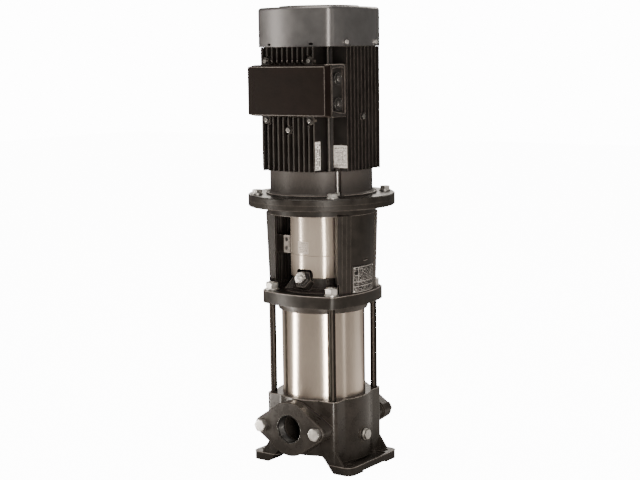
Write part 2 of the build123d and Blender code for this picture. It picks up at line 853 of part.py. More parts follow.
with BuildPart() as motor_stool:
    with BuildSketch(Plane.XY.offset(stool_bottom)):
        add(stool_outline)
    extrude(amount=stool_foot)
    chamfer(motor_stool.faces().sort_by(Axis.Z)[-1].edges(), 1.2)
    with BuildSketch(Plane.XZ):
        with BuildLine():
            Polyline(
                (stool_inner_radius, stool_bottom),
                (stool_bottom_radius, stool_bottom),
                (stool_bottom_radius, stool_foot_top),
                (stool_top_radius, stool_ring_bottom),
                (stool_top_radius, stool_top - stool_flange - 4),
                (stool_top_radius + 4, stool_top - stool_flange),
                (large_flange_radius - 1.5, stool_top - stool_flange),
                (large_flange_radius, stool_top - stool_flange + 1.5),
                (large_flange_radius, stool_top),
                (stool_inner_radius, stool_top),
                close=True,
            )
        make_face()
    revolve(axis=Axis.Z)
    wall_height = stool_ring_bottom - stool_foot_top
    with BuildSketch(Plane.XY.offset(stool_foot_top)):
        add(window_sectors)
    extrude(amount=wall_height, mode=Mode.SUBTRACT)
    # the walls grow thicker in steps toward the edges of the windows
    for ends, raised in band_places:
        with BuildSketch(upright_plane(ends[0])):
            with BuildLine():
                Polyline(
                    (stool_inner_radius + 2, stool_foot_top - 2),
                    (stool_bottom_radius + raised, stool_foot_top - 2),
                    (stool_bottom_radius + raised, stool_foot_top),
                    (stool_top_radius + raised, stool_ring_bottom),
                    (stool_top_radius, stool_ring_bottom + raised),
                    (stool_inner_radius + 2, stool_ring_bottom + raised),
                    close=True,
                )
            make_face()
        revolve(axis=Axis.Z, revolution_arc=ends[1] - ends[0])
    with BuildSketch(Plane.XY.offset(stool_foot_top + 6)):
        add(pocket_sectors)
    extrude(amount=wall_height - 6, mode=Mode.SUBTRACT)
    # lugs that carry the ears of the guards
    for front in (-1, 1):
        for side in (-1, 1):
            with BuildSketch(Plane.XY.offset(guard_ear_bottom)):
                with Locations((side * (lug_far + lug_near) / 2, front * lug_y)):
                    Rectangle(lug_far - lug_near, lug_depth)
            extrude(amount=guard_ear_height)
    with BuildSketch(Plane.XY.offset(stool_bottom)):
        Circle(spigot_radius + 0.1)
    extrude(amount=stool_foot, mode=Mode.SUBTRACT)
    with BuildSketch(Plane.XY.offset(stool_top)):
        Circle(centring_radius + 0.1)
    extrude(amount=-centring_height, mode=Mode.SUBTRACT)
    with Locations(Plane.XY.offset(stool_foot_top)):
        with Locations(*staybolt_places):
            Hole(staybolt_radius + hole_clearance, stool_foot)
    # spot faces under the washers, through the foot of the walls
    with BuildSketch(Plane.XY.offset(stool_foot_top)):
        with Locations(*staybolt_places):
            Circle(washer_radius + 1)
    extrude(amount=washer_thickness + nut_height + staybolt_tail + 4, mode=Mode.SUBTRACT)
    with Locations(Plane.XY.offset(stool_top)):
        with Locations(*flange_bolt_places):
            Hole(flange_bolt_radius + screw_play, stool_flange)
    # drip slot above the rating plate
    slot_height = plate_bottom + plate_height + 12
    slot_bottom = stool_bottom_radius + wall_slope * (slot_height - stool_foot_top) - drip_slot_depth
    with Locations((slot_bottom + 6, 0, slot_height)):
        Box(12, 15, 3.5, mode=Mode.SUBTRACT)
    for front in (-1, 1):
        with BuildSketch(Plane.XZ.offset(front * (guard_edge - guard_sheet))):
            with Locations(*guard_screw_places):
                Circle(guard_screw_radius + screw_play)
        extrude(amount=-front * (lug_depth - 2), mode=Mode.SUBTRACT)
save(motor_stool, "motor_stool")

# Coupling guards, bent sheet with an ear on each side
bead_height = guard_ear_bottom + 2.5
ear_outer = sqrt(guard_radius**2 - guard_edge**2) + guard_ear_width
ear_middle = guard_ear_bottom + guard_ear_height / 2
arc_start = degrees(asin(guard_edge / guard_radius))
for front, name in ((-1, "coupling_guard_front"), (1, "coupling_guard_rear")):
    first = 90 * front - 90 + arc_start
    sheet = sector(guard_radius - guard_sheet, guard_radius, first, first + 180 - 2 * arc_start)
    with BuildPart() as coupling_guard:
        with BuildSketch(Plane.XY.offset(drum_top)):
            add(sheet)
        extrude(amount=guard_top - drum_top)
        with BuildSketch(Plane.XZ.offset(-front * guard_edge)):
            for side in (-1, 1):
                with Locations((side * (ear_outer - guard_ear_width / 2 - 0.5), ear_middle)):
                    RectangleRounded(guard_ear_width + 1, guard_ear_height, 3)
            with Locations(*guard_screw_places):
                Circle(guard_screw_radius + 0.3, mode=Mode.SUBTRACT)
        extrude(amount=front * guard_sheet)
        # pressed bead around the sheet
        with BuildSketch(upright_plane(first)):
            with BuildLine():
                Polyline(
                    (guard_radius - 0.4, bead_height - 1.4),
                    (guard_radius + 0.7, bead_height),
                    (guard_radius - 0.4, bead_height + 1.4),
                    close=True,
                )
            make_face()
        revolve(axis=Axis.Z, revolution_arc=180 - 2 * arc_start)
        if front < 0:
            # cut-out around the priming boss
            with BuildSketch(Plane.XZ):
                with Locations((0, drum_top)):
                    RectangleRounded(priming_boss_flats + 6, 2 * guard_notch, 8)
            extrude(amount=2 * guard_radius, mode=Mode.SUBTRACT)
    save(coupling_guard, name)

# Rating plate of the pump, bent to the wall of the stool
plate_low = stool_bottom_radius + fit + wall_slope * (plate_bottom - stool_foot_top)
plate_high = plate_low + wall_slope * plate_height
with BuildPart() as stool_nameplate:
    with BuildSketch(upright_plane(plate_angle - plate_half)):
        with BuildLine():
            Polyline(
                (plate_low, plate_bottom),
                (plate_low + plate_sheet, plate_bottom),
                (plate_high + plate_sheet, plate_bottom + plate_height),
                (plate_high, plate_bottom + plate_height),
                close=True,
            )
        make_face()
    revolve(axis=Axis.Z, revolution_arc=2 * plate_half)
save(stool_nameplate, "stool_nameplate")

guard_screw = hex_screw(7, 2.8, guard_screw_radius, lug_depth - 3)
with BuildPart() as guard_screws:
    for front in (-1, 1):
        for x, z in guard_screw_places:
            with Locations(Plane(origin=(x, front * guard_edge, z), x_dir=(1, 0, 0), z_dir=(0, front, 0))):
                add(guard_screw)
save(guard_screws, "guard_screws")

# Split coupling clamped on both shafts
shaft_end = coupling_bottom + 38
motor_shaft_bottom = shaft_end + 4
coupling_screw_heights = [coupling_bottom + coupling_length * share for share in (0.16, 0.62, 0.86)]
for front, name in ((-1, "coupling_half_front"), (1, "coupling_half_rear")):
    with BuildPart() as coupling_half:
        with BuildSketch(Plane.XZ):
            with BuildLine():
                Polyline(
                    (pump_shaft_radius, coupling_bottom),
                    (coupling_radius - 10, coupling_bottom),
                    (coupling_radius - 8, coupling_bottom + 2),
                    (coupling_radius - 8, shaft_end - 4),
                    (coupling_radius, shaft_end + 4),
                    (coupling_radius, coupling_top - 2),
                    (coupling_radius - 2, coupling_top),
                    (motor_shaft_radius, coupling_top),
                    (motor_shaft_radius, shaft_end),
                    (pump_shaft_radius, shaft_end),
                    close=True,
                )
            make_face()
        revolve(axis=Axis.Z)
        split_y = front * (coupling_split / 2 - coupling_radius)
        with Locations((0, split_y, (coupling_bottom + coupling_top) / 2)):
            Box(3 * coupling_radius, 2 * coupling_radius, 2 * coupling_length, mode=Mode.SUBTRACT)
        # seats of the clamping screws
        for z in coupling_screw_heights:
            spread = coupling_screw_spread if z > shaft_end else coupling_screw_spread - 9
            for x in (-spread, spread):
                with BuildSketch(Plane(origin=(x, 0, z), x_dir=(1, 0, 0), z_dir=(0, front, 0))):
                    Circle(4 + screw_play)
                extrude(amount=coupling_radius, mode=Mode.SUBTRACT)
                with BuildSketch(Plane(origin=(x, front * 18, z), x_dir=(1, 0, 0), z_dir=(0, front, 0))):
                    Circle(7.5)
                extrude(amount=coupling_radius, mode=Mode.SUBTRACT)
        with BuildSketch(Plane.YZ.offset(0)):
            with Locations((0, shaft_end - 10)):
                Circle(2.5)
        extrude(amount=15, both=True, mode=Mode.SUBTRACT)
    save(coupling_half, name)

socket_screw_reach = 18
with BuildPart() as one_socket_screw:
    Cylinder(6.5, 8, align=(Align.CENTER, Align.CENTER, Align.MIN))
    Cylinder(4, 2 * socket_screw_reach, align=(Align.CENTER, Align.CENTER, Align.MAX))
    with BuildSketch(Plane.XY.offset(8)):
        RegularPolygon(3, 6, major_radius=False)
    extrude(amount=-4, mode=Mode.SUBTRACT)
with BuildPart() as coupling_screws:
    for z in coupling_screw_heights:
        spread = coupling_screw_spread if z > shaft_end else coupling_screw_spread - 9
        for x in (-spread, spread):
            with Locations(Plane(origin=(x, -socket_screw_reach, z), x_dir=(1, 0, 0), z_dir=(0, -1, 0))):
                add(one_socket_screw.part)
save(coupling_screws, "coupling_screws")

with BuildPart() as coupling_pin:
    with BuildSketch(Plane.YZ.offset(-14)):
        with Locations((0, shaft_end - 10)):
            Circle(2.5 - screw_play)
    extrude(amount=28)
save(coupling_pin, "coupling_pin")

with BuildPart() as pump_shaft:
    with BuildSketch(Plane.XY.offset(stack_bottom - 8)):
        Circle(pump_shaft_radius - screw_play)
    extrude(amount=shaft_end - 1 - stack_bottom + 8)
    chamfer(pump_shaft.edges().filter_by(GeomType.CIRCLE), 1)
    with BuildSketch(Plane.YZ.offset(-14)):
        with Locations((0, shaft_end - 10)):
            Circle(2.5)
    extrude(amount=28, mode=Mode.SUBTRACT)
    # nut under the first impeller
    with BuildSketch(Plane.XY.offset(stack_bottom - 6)):
        RegularPolygon(pump_shaft_radius + 3, 6, major_radius=False)
    extrude(amount=6 + impeller_lift - 0.2)
save(pump_shaft, "pump_shaft")

# Motor shaft with its steps
fan_bottom = bearing_high + bearing_width + 8
fan_height = 26
with BuildPart() as motor_shaft:
    with BuildSketch(Plane.XZ):
        with BuildLine():
            Polyline(
                (0, motor_shaft_bottom),
                (motor_shaft_radius - 1.5, motor_shaft_bottom),
                (motor_shaft_radius - screw_play, motor_shaft_bottom + 1.5),
                (motor_shaft_radius - screw_play, bearing_low - 6),
                (shaft_seat_radius, bearing_low - 6),
                (shaft_seat_radius, bearing_low + bearing_width),
                (rotor_shaft_radius, bearing_low + bearing_width),
                (rotor_shaft_radius, bearing_high),
                (shaft_seat_radius, bearing_high),
                (shaft_seat_radius, fan_bottom),
                (fan_seat_radius, fan_bottom),
                (fan_seat_radius, fan_bottom + fan_height + 2),
                (0, fan_bottom + fan_height + 2),
                close=True,
            )
        make_face()
    revolve(axis=Axis.Z)
save(motor_shaft, "motor_shaft")

core_bottom = housing_bottom + core_start
core_top = core_bottom + core_length
rotor_radius = core_bore - air_gap
with BuildPart() as rotor_core:
    with BuildSketch(Plane.XY.offset(core_bottom)):
        Circle(rotor_radius)
        Circle(rotor_shaft_radius + screw_play, mode=Mode.SUBTRACT)
    extrude(amount=core_length)
    for bottom in (core_bottom - 8, core_top):
        with BuildSketch(Plane.XY.offset(bottom)):
            Circle(rotor_radius - 2)
            Circle(rotor_shaft_radius + 6, mode=Mode.SUBTRACT)
        extrude(amount=8)
save(rotor_core, "rotor_core")

with BuildPart() as stator_core:
    with BuildSketch(Plane.XY.offset(core_bottom)):
        Circle(housing_bore - screw_play)
        Circle(core_bore, mode=Mode.SUBTRACT)
    extrude(amount=core_length)
save(stator_core, "stator_core")

with BuildPart() as stator_winding:
    for bottom in (core_bottom - winding_height, core_top):
        with BuildSketch(Plane.XZ):
            with Locations(((core_bore + housing_bore) / 2 - 1, bottom + winding_height / 2)):
                RectangleRounded(housing_bore - core_bore - 12, winding_height, 6)
        revolve(axis=Axis.Z)
save(stator_winding, "stator_winding")


# Ball bearings at both ends of the motor shaft
def bearing_profile(inner, outer, bottom):
    # one race seen in section, with the groove for the balls
    with BuildSketch() as profile:
        with Locations(((inner + outer) / 2, bottom + bearing_width / 2)):
            Rectangle(outer - inner, bearing_width)
        with Locations((ball_circle, bottom + bearing_width / 2)):
            Circle(ball_radius + 0.12, mode=Mode.SUBTRACT)
    return profile.sketch


race_gap = 3.5
bearing_places = (bearing_low, bearing_high)
outer_races = [bearing_profile(ball_circle + race_gap, bearing_outer_radius, z) for z in bearing_places]
inner_bore = shaft_seat_radius + screw_play
inner_races = [bearing_profile(inner_bore, ball_circle - race_gap, z) for z in bearing_places]
with BuildPart() as bearing_outer_rings:
    with BuildSketch(Plane.XZ):
        add(outer_races)
    revolve(axis=Axis.Z)
save(bearing_outer_rings, "bearing_outer_rings")
with BuildPart() as bearing_inner_rings:
    with BuildSketch(Plane.XZ):
        add(inner_races)
    revolve(axis=Axis.Z)
save(bearing_inner_rings, "bearing_inner_rings")

with BuildPart() as bearing_balls:
    for bottom in bearing_places:
        with Locations((0, 0, bottom + bearing_width / 2)):
            with PolarLocations(ball_circle, ball_count):
                Sphere(ball_radius)
        # cage that joins the balls into one turning ring
        with BuildSketch(Plane.XY.offset(bottom + bearing_width / 2 - 1.5)):
            Circle(ball_circle + 1.5)
            Circle(ball_circle - 1.5, mode=Mode.SUBTRACT)
        extrude(amount=3)
save(bearing_balls, "bearing_balls")

# Drive end shield, the large flange and the neck of the motor
groove_places = [groove_angle, 180 - groove_angle, 180 + groove_angle, 360 - groove_angle]
stud_circle = neck_radius - 5
with BuildPart() as drive_end_shield:
    with BuildSketch(Plane.XZ):
        with BuildLine():
            Polyline(
                (motor_shaft_radius + shaft_gap, stool_top - centring_height),
                (centring_radius, stool_top - centring_height),
                (centring_radius, stool_top),
                (large_flange_radius, stool_top),
                (large_flange_radius, motor_flange_top - 1.5),
                (large_flange_radius - 1.5, motor_flange_top),
                (neck_radius + 9, motor_flange_top),
                (neck_radius + 8, motor_flange_top + 2),
                (neck_radius + 3, motor_flange_top + 2.5),
                (neck_radius, motor_flange_top + 6),
                (neck_radius, housing_bottom - 1),
                (neck_radius - 1, housing_bottom),
                (neck_inner_radius, housing_bottom),
                (neck_inner_radius, motor_flange_top),
                (bearing_outer_radius + 8, motor_flange_top - 2),
                (bearing_outer_radius + 8, bearing_low + bearing_width),
                (bearing_outer_radius, bearing_low + bearing_width),
                (bearing_outer_radius, bearing_low),
                (bearing_outer_radius - 5, bearing_low),
                (bearing_outer_radius - 5, bearing_low - 8),
                (motor_shaft_radius + shaft_gap, bearing_low - 8),
                close=True,
            )
        make_face()
    revolve(axis=Axis.Z)
    # grooves of the neck for the end shield screws
    for angle in groove_places:
        with BuildSketch(Plane.XY.offset(motor_flange_top + 2.5)):
            with PolarLocations(neck_radius, 1, start_angle=angle):
                RectangleRounded(2 * groove_depth, groove_width, 3)
        extrude(amount=neck_height, mode=Mode.SUBTRACT)
    with Locations(Plane.XY.offset(motor_flange_top)):
        with Locations(*flange_bolt_places):
            Hole(flange_bolt_radius + hole_clearance, motor_flange)
    with BuildSketch(Plane.XY.offset(housing_bottom)):
        with GridLocations(2 * tie_bolt_offset, 2 * tie_bolt_offset, 2, 2):
            Circle(tie_bolt_radius + screw_play)
    extrude(amount=-14, mode=Mode.SUBTRACT)
save(drive_end_shield, "drive_end_shield")

flange_bolt = hex_screw(flange_bolt_flats, 7.5, flange_bolt_radius, motor_flange + stool_flange - 1, 12, 2.5)
with BuildPart() as motor_flange_bolts:
    with Locations(Plane.XY.offset(motor_flange_top)):
        with Locations(*flange_bolt_places):
            add(flange_bolt)
save(motor_flange_bolts, "motor_flange_bolts")

stud_places = [on_circle(stud_circle, angle) for angle in groove_places]
with BuildPart() as end_shield_screws:
    with BuildSketch(Plane.XY.offset(motor_flange_top + 2.5)):
        with Locations(*stud_places):
            RegularPolygon(2 * stud_radius - 1, 6, major_radius=False)
    extrude(amount=6)
    with BuildSketch(Plane.XY.offset(motor_flange_top + 2.5)):
        with Locations(*stud_places):
            Circle(stud_radius)
    extrude(amount=neck_height - 2.5 + stud_engagement)
save(end_shield_screws, "end_shield_screws")


# Stator housing, a finned cross around a round barrel
def fin_places(count):
    return [(number - (count - 1) / 2) * fin_pitch for number in range(count)]


with BuildPart() as stator_housing:
    with BuildSketch(Plane.XY.offset(housing_bottom)):
        Circle(housing_radius)
        for x in fin_places(front_fins):
            with Locations((x, 0)):
                Rectangle(fin_thickness, 2 * fin_reach_front)
        for y in fin_places(side_fins):
            with Locations((0, y)):
                Rectangle(2 * fin_reach_side, fin_thickness)
        Circle(housing_bore, mode=Mode.SUBTRACT)
    extrude(amount=housing_length)
    with BuildSketch(Plane.XY.offset(housing_bottom)):
        with Locations(*stud_places):
            Circle(6)
    extrude(amount=stud_engagement + 1)
    # flat pad for the terminal box, where the fins are cut short
    with Locations((0, -pad_reach - 10, (box_bottom + box_top) / 2 + 1)):
        Box(2 * fin_reach_side, 20, box_height + 4, mode=Mode.SUBTRACT)
    with Locations((0, -(pad_reach + housing_bore + 2) / 2, (box_bottom + box_top) / 2)):
        Box((front_fins - 1) * fin_pitch, pad_reach - housing_bore - 2, box_height - 10)
    for z in (box_bottom - tab_overhang, box_top + tab_overhang):
        for x in (-tab_spread, tab_spread):
            with BuildSketch(Plane.XZ.offset(pad_reach)):
                with Locations((x, z)):
                    Circle(tab_radius + 2.5)
            extrude(amount=20, mode=Mode.SUBTRACT)
            with BuildSketch(Plane.XZ.offset(pad_reach)):
                with Locations((x, z)):
                    Circle(tab_radius)
            extrude(amount=-12)
            with BuildSketch(Plane.XZ.offset(pad_reach)):
                with Locations((x, z)):
                    Circle(2.5 + screw_play)
            extrude(amount=-10, mode=Mode.SUBTRACT)
    # bosses with a blind screw, one among the front fins and one among the side fins
    front_place = (0, boss_sunk - fin_reach_front, housing_bottom + front_boss_height)
    side_place = (fin_reach_side - boss_sunk, 0, housing_bottom + side_boss_height)
    front_boss_plane = Plane(origin=front_place, x_dir=(1, 0, 0), z_dir=(0, -1, 0))
    side_boss_plane = Plane(origin=side_place, x_dir=(0, 1, 0), z_dir=(1, 0, 0))
    for boss_plane in (front_boss_plane, side_boss_plane):
        with BuildSketch(boss_plane):
            Circle(9)
        extrude(amount=10, mode=Mode.SUBTRACT)
        with BuildSketch(boss_plane):
            Circle(7)
        extrude(amount=-14)
        with BuildSketch(boss_plane):
            Circle(3 + screw_play)
        extrude(amount=-10, mode=Mode.SUBTRACT)
    with BuildSketch(Plane.XY.offset(housing_bottom)):
        with Locations(*stud_places):
            Circle(stud_radius + screw_play)
    extrude(amount=stud_engagement + 1, mode=Mode.SUBTRACT)
save(stator_housing, "stator_housing")

housing_screw = hex_screw(10, 4.5, 3, 9)
with BuildPart() as housing_screws:
    for boss_plane in (front_boss_plane, side_boss_plane):
        with Locations(boss_plane):
            add(housing_screw)
save(housing_screws, "housing_screws")

plate_wall_y = -fin_places(side_fins)[-1] - fin_thickness / 2
with BuildPart() as motor_nameplate:
    with BuildSketch(Plane.XZ.offset(-plate_wall_y)):
        with Locations((fin_reach_side - 17, housing_bottom + stud_engagement + 2 + 22)):
            RectangleRounded(32, 44, 1)
    extrude(amount=0.6)
save(motor_nameplate, "motor_nameplate")

# Long bolts that hold the motor together, in the notched corners of the housing
tie_nut_height = 5
tie_places = four_corners(tie_bolt_offset)
shield_top = housing_top + shield_thickness
with BuildPart() as motor_tie_bolts:
    with BuildSketch(Plane.XY.offset(housing_bottom - 12)):
        with Locations(*tie_places):
            Circle(tie_bolt_radius)
    extrude(amount=shield_top + 4 - housing_bottom + 12)
    with BuildSketch(Plane.XY.offset(housing_bottom)):
        with Locations(*tie_places):
            Circle(tie_bolt_radius + 1)
    extrude(amount=tie_nut_height)
    with BuildSketch(Plane.XY.offset(shield_top)):
        with Locations(*tie_places):
            RegularPolygon(tie_bolt_radius + 2.5, 6, major_radius=False)
    extrude(amount=5)
save(motor_tie_bolts, "motor_tie_bolts")

# Fan end shield with lugs for the tie bolts and for the fan cover
cover_bow = cover_middle - cover_corner
bow_radius = (cover_corner**2 + cover_bow**2) / (2 * cover_bow)


def cover_side(distance):
    # how far out the bowed side of the fan cover stands, at a distance from its middle
    return cover_middle - bow_radius + sqrt(bow_radius**2 - distance**2)


def cover_screw_plane(side, distance, y):
    # square to a screw of the fan cover
    height = cover_bottom + cover_screw_height
    return Plane(origin=(side * distance, y, height), x_dir=(0, side, 0), z_dir=(side, 0, 0))


lug_half = 7
lug_reach = cover_side(cover_screw_spread + lug_half) - cover_wall - 0.5
with BuildPart() as fan_end_shield:
    with BuildSketch(Plane.XY.offset(housing_top)):
        Circle(housing_radius)
        with Locations(*tie_places):
            Circle(tie_bolt_radius + 5)
        with GridLocations(2 * lug_reach - 20, 2 * cover_screw_spread, 2, 2):
            Rectangle(20, 2 * lug_half)
        Circle(bearing_outer_radius - 5, mode=Mode.SUBTRACT)
    extrude(amount=shield_thickness)
    with BuildSketch(Plane.XY.offset(shield_top)):
        Circle(bearing_outer_radius + 8)
        Circle(bearing_outer_radius - 5, mode=Mode.SUBTRACT)
    extrude(amount=bearing_high + bearing_width + 3 - shield_top)
    with BuildSketch(Plane.XY.offset(housing_top)):
        Circle(bearing_outer_radius)
    extrude(amount=bearing_high + bearing_width - housing_top, mode=Mode.SUBTRACT)
    with BuildSketch(Plane.XY.offset(housing_top)):
        with Locations(*tie_places):
            Circle(tie_bolt_radius + screw_play)
    extrude(amount=shield_thickness, mode=Mode.SUBTRACT)
    for side in (-1, 1):
        for y in (-cover_screw_spread, cover_screw_spread):
            with BuildSketch(cover_screw_plane(side, lug_reach, y)):
                Circle(cover_screw_radius + screw_play)
            extrude(amount=-14, mode=Mode.SUBTRACT)
save(fan_end_shield, "fan_end_shield")

# Cooling fan with straight blades
with BuildPart() as cooling_fan:
    with BuildSketch(Plane.XY.offset(fan_bottom)):
        Circle(fan_seat_radius + 10)
        Circle(fan_seat_radius + screw_play, mode=Mode.SUBTRACT)
    extrude(amount=fan_height)
    with BuildSketch(Plane.XY.offset(fan_bottom)):
        Circle(cover_corner - 8)
        Circle(fan_seat_radius + 8, mode=Mode.SUBTRACT)
    extrude(amount=3)
    with BuildSketch(Plane.XY.offset(fan_bottom)):
        with PolarLocations((fan_seat_radius + cover_corner) / 2 + 2, 9):
            Rectangle(cover_corner - fan_seat_radius - 20, 3)
    extrude(amount=fan_height)
save(cooling_fan, "cooling_fan")

# Fan cover, a bowed square hood with the air inlet in its roof
cover_outer = bulged_square(cover_corner, cover_middle, cover_corner_radius)
inner_corner_radius = cover_corner_radius - cover_wall
cover_inner = bulged_square(cover_corner - cover_wall, cover_middle - cover_wall, inner_corner_radius)
cover_top = cover_bottom + cover_height
with BuildPart() as fan_cover:
    with BuildSketch(Plane.XY.offset(cover_bottom)):
        add(cover_outer)
    extrude(amount=cover_height)
    fillet(fan_cover.faces().sort_by(Axis.Z)[-1].edges(), 7)
    with BuildSketch(Plane.XY.offset(cover_top)):
        Circle(cover_corner - 6)
    extrude(amount=cover_dome, taper=50)
    with BuildSketch(Plane.XY.offset(cover_bottom)):
        add(cover_inner)
    extrude(amount=cover_height - cover_wall, mode=Mode.SUBTRACT)
    for number in range(grille_slots):
        inner = grille_start + number * grille_pitch
        with BuildSketch(Plane.XY.offset(cover_top - cover_wall - 1)):
            Circle(inner + grille_slot)
            Circle(inner, mode=Mode.SUBTRACT)
            with PolarLocations(0, 3):
                Rectangle(2 * cover_corner, grille_spoke, mode=Mode.SUBTRACT)
        extrude(amount=cover_dome + cover_wall + 2, mode=Mode.SUBTRACT)
    for side in (-1, 1):
        with BuildSketch(Plane.YZ):
            with Locations((0, cover_bottom + cover_screw_height)):
                with GridLocations(2 * cover_screw_spread, 0, 2, 1):
                    Circle(cover_screw_radius + 0.5)
        extrude(amount=side * 2 * cover_middle, mode=Mode.SUBTRACT)
        with BuildSketch(Plane.XZ):
            with Locations((0, cover_bottom + 5)):
                with GridLocations(2 * cover_screw_spread, 0, 2, 1):
                    SlotOverall(9, 4.5)
        extrude(amount=side * 2 * cover_middle, mode=Mode.SUBTRACT)
save(fan_cover, "fan_cover")

cover_screw_seat = cover_side(cover_screw_spread - 5)
cover_screw = hex_screw(8, 3.5, cover_screw_radius, cover_screw_seat - lug_reach + 10)
with BuildPart() as fan_cover_screws:
    for side in (-1, 1):
        for y in (-cover_screw_spread, cover_screw_spread):
            with Locations(cover_screw_plane(side, cover_screw_seat, y)):
                add(cover_screw)
save(fan_cover_screws, "fan_cover_screws")

# Terminal box
box_middle_x = (box_left + box_right) / 2
box_width = box_right - box_left
with BuildPart() as terminal_box_base:
    with BuildSketch(Plane.XZ.offset(pad_reach)):
        with Locations((box_middle_x, (box_bottom + box_top) / 2)):
            RectangleRounded(box_width, box_height, 4)
        for z in (box_bottom - tab_overhang, box_top + tab_overhang):
            for x in (-tab_spread, tab_spread):
                with Locations((x, z)):
                    Circle(tab_radius)
                with Locations((x, z - (tab_overhang / 2 + 2) * (1 if z > box_top else -1))):
                    Rectangle(2 * tab_radius, tab_overhang + 4)
    extrude(amount=box_base_depth)
    with BuildSketch(Plane.XZ.offset(wing_back)):
        with Locations(((wing_inner + box_right) / 2, (box_bottom + box_top) / 2)):
            Rectangle(box_right - wing_inner, box_height)
    extrude(amount=pad_reach - wing_back + 1)
    # framed field of the cable entries
    with BuildSketch(Plane.YZ.offset(box_right)):
        with Locations((-(wing_back + lid_back) / 2, (box_bottom + box_top) / 2)):
            RectangleRounded(lid_back - wing_back - 7, box_height - 14, 3)
    extrude(amount=-6, mode=Mode.SUBTRACT)
    with BuildSketch(Plane.XZ.offset(pad_reach - 30)):
        with Locations(((wing_inner + box_right - 6) / 2, (box_bottom + box_top) / 2)):
            Rectangle(box_right - wing_inner - 12, box_height - 12)
    extrude(amount=31 + box_base_depth, mode=Mode.SUBTRACT)
    with BuildSketch(Plane.XZ.offset(pad_reach + 3)):
        with Locations((box_middle_x, (box_bottom + box_top) / 2)):
            Rectangle(box_width - 8, box_height - 8)
    extrude(amount=box_base_depth, mode=Mode.SUBTRACT)
    entry_y = -(wing_back + lid_back) / 2
    entry_places = [(entry_y, box_bottom + box_height * share) for share in (0.725, 0.25)]
    with BuildSketch(Plane.YZ.offset(box_right)):
        with Locations(*entry_places):
            Circle(entry_radius - 3)
    extrude(amount=-14, mode=Mode.SUBTRACT)
    with BuildSketch(Plane.XZ.offset(pad_reach)):
        for z in (box_bottom - tab_overhang, box_top + tab_overhang):
            with Locations((-tab_spread, z), (tab_spread, z)):
                Circle(2.5 + screw_play)
    extrude(amount=box_base_depth, mode=Mode.SUBTRACT)
save(terminal_box_base, "terminal_box_base")

lid_middle = (box_bottom + box_top) / 2
bulge_radius = ((box_width / 2) ** 2 + lid_bulge**2) / (2 * lid_bulge)
with BuildPart() as terminal_box_lid:
    with BuildSketch(Plane.XZ.offset(lid_back)):
        with Locations((box_middle_x, lid_middle)):
            Rectangle(box_width, box_height)
    with BuildSketch(Plane.XZ.offset(lid_back + lid_depth)):
        with Locations((box_middle_x, lid_middle)):
            Rectangle(box_width - 1, box_height - 2 * lid_draft)
    loft()
    fillet(terminal_box_lid.edges().filter_by(Axis.Z, tolerance=12), 3)
    with BuildSketch(Plane.XY.offset(box_bottom - 1)):
        with Locations((box_middle_x, -(lid_back + lid_depth) + bulge_radius)):
            Circle(bulge_radius)
    extrude(amount=box_height + 2, mode=Mode.INTERSECT)
    with BuildSketch(Plane.XZ.offset(lid_back)):
        with Locations((box_middle_x, lid_middle)):
            Rectangle(box_width - 2 * lid_wall, box_height - 2 * lid_wall - lid_draft)
    extrude(amount=lid_depth - lid_bulge - lid_wall, mode=Mode.SUBTRACT)
save(terminal_box_lid, "terminal_box_lid")

with BuildPart() as terminal_board:
    with BuildSketch(Plane.XZ.offset(pad_reach + 3)):
        with Locations((0, lid_middle)):
            RectangleRounded(70, 46, 3)
    extrude(amount=8)
    with BuildSketch(Plane.XZ.offset(pad_reach + 11)):
        with Locations((0, lid_middle)):
            with GridLocations(22, 22, 3, 2):
                Circle(3)
    extrude(amount=8)
save(terminal_board, "terminal_board")

with BuildPart() as cable_entry_plugs:
    with BuildSketch(Plane.YZ.offset(box_right - 6)):
        with Locations(*entry_places):
            Circle(entry_radius)
    extrude(amount=3)
    with BuildSketch(Plane.YZ.offset(box_right - 3)):
        with Locations(*entry_places):
            RegularPolygon(entry_radius - 3.5, 6, major_radius=False)
    extrude(amount=4)
    with BuildSketch(Plane.YZ.offset(box_right - 6)):
        with Locations(*entry_places):
            Circle(entry_radius - 3 - screw_play)
    extrude(amount=-7)
save(cable_entry_plugs, "cable_entry_plugs")

box_screw = hex_screw(8, 4, 2.5, box_base_depth + 9)
with BuildPart() as terminal_box_screws:
    for z in (box_bottom - tab_overhang, box_top + tab_overhang):
        for x in (-tab_spread, tab_spread):
            with Locations(Plane(origin=(x, -lid_back, z), x_dir=(1, 0, 0), z_dir=(0, -1, 0))):
                add(box_screw)
save(terminal_box_screws, "terminal_box_screws")
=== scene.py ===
import math
import bpy
import numpy as np
from mathutils import Matrix, Vector


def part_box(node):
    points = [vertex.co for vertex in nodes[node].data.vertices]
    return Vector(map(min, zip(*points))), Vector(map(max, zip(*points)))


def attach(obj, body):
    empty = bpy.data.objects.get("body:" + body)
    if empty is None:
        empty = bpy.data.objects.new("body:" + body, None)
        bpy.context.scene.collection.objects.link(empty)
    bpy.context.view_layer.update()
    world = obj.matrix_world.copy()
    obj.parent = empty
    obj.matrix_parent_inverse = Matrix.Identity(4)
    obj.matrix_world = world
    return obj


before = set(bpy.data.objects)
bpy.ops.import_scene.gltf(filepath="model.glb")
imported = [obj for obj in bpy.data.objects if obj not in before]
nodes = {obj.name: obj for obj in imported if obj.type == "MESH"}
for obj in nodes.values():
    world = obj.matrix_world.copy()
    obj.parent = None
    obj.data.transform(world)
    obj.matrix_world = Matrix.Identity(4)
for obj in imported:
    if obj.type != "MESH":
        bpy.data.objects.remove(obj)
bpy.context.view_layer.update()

print("frame loaded with", len(nodes), "nodes")

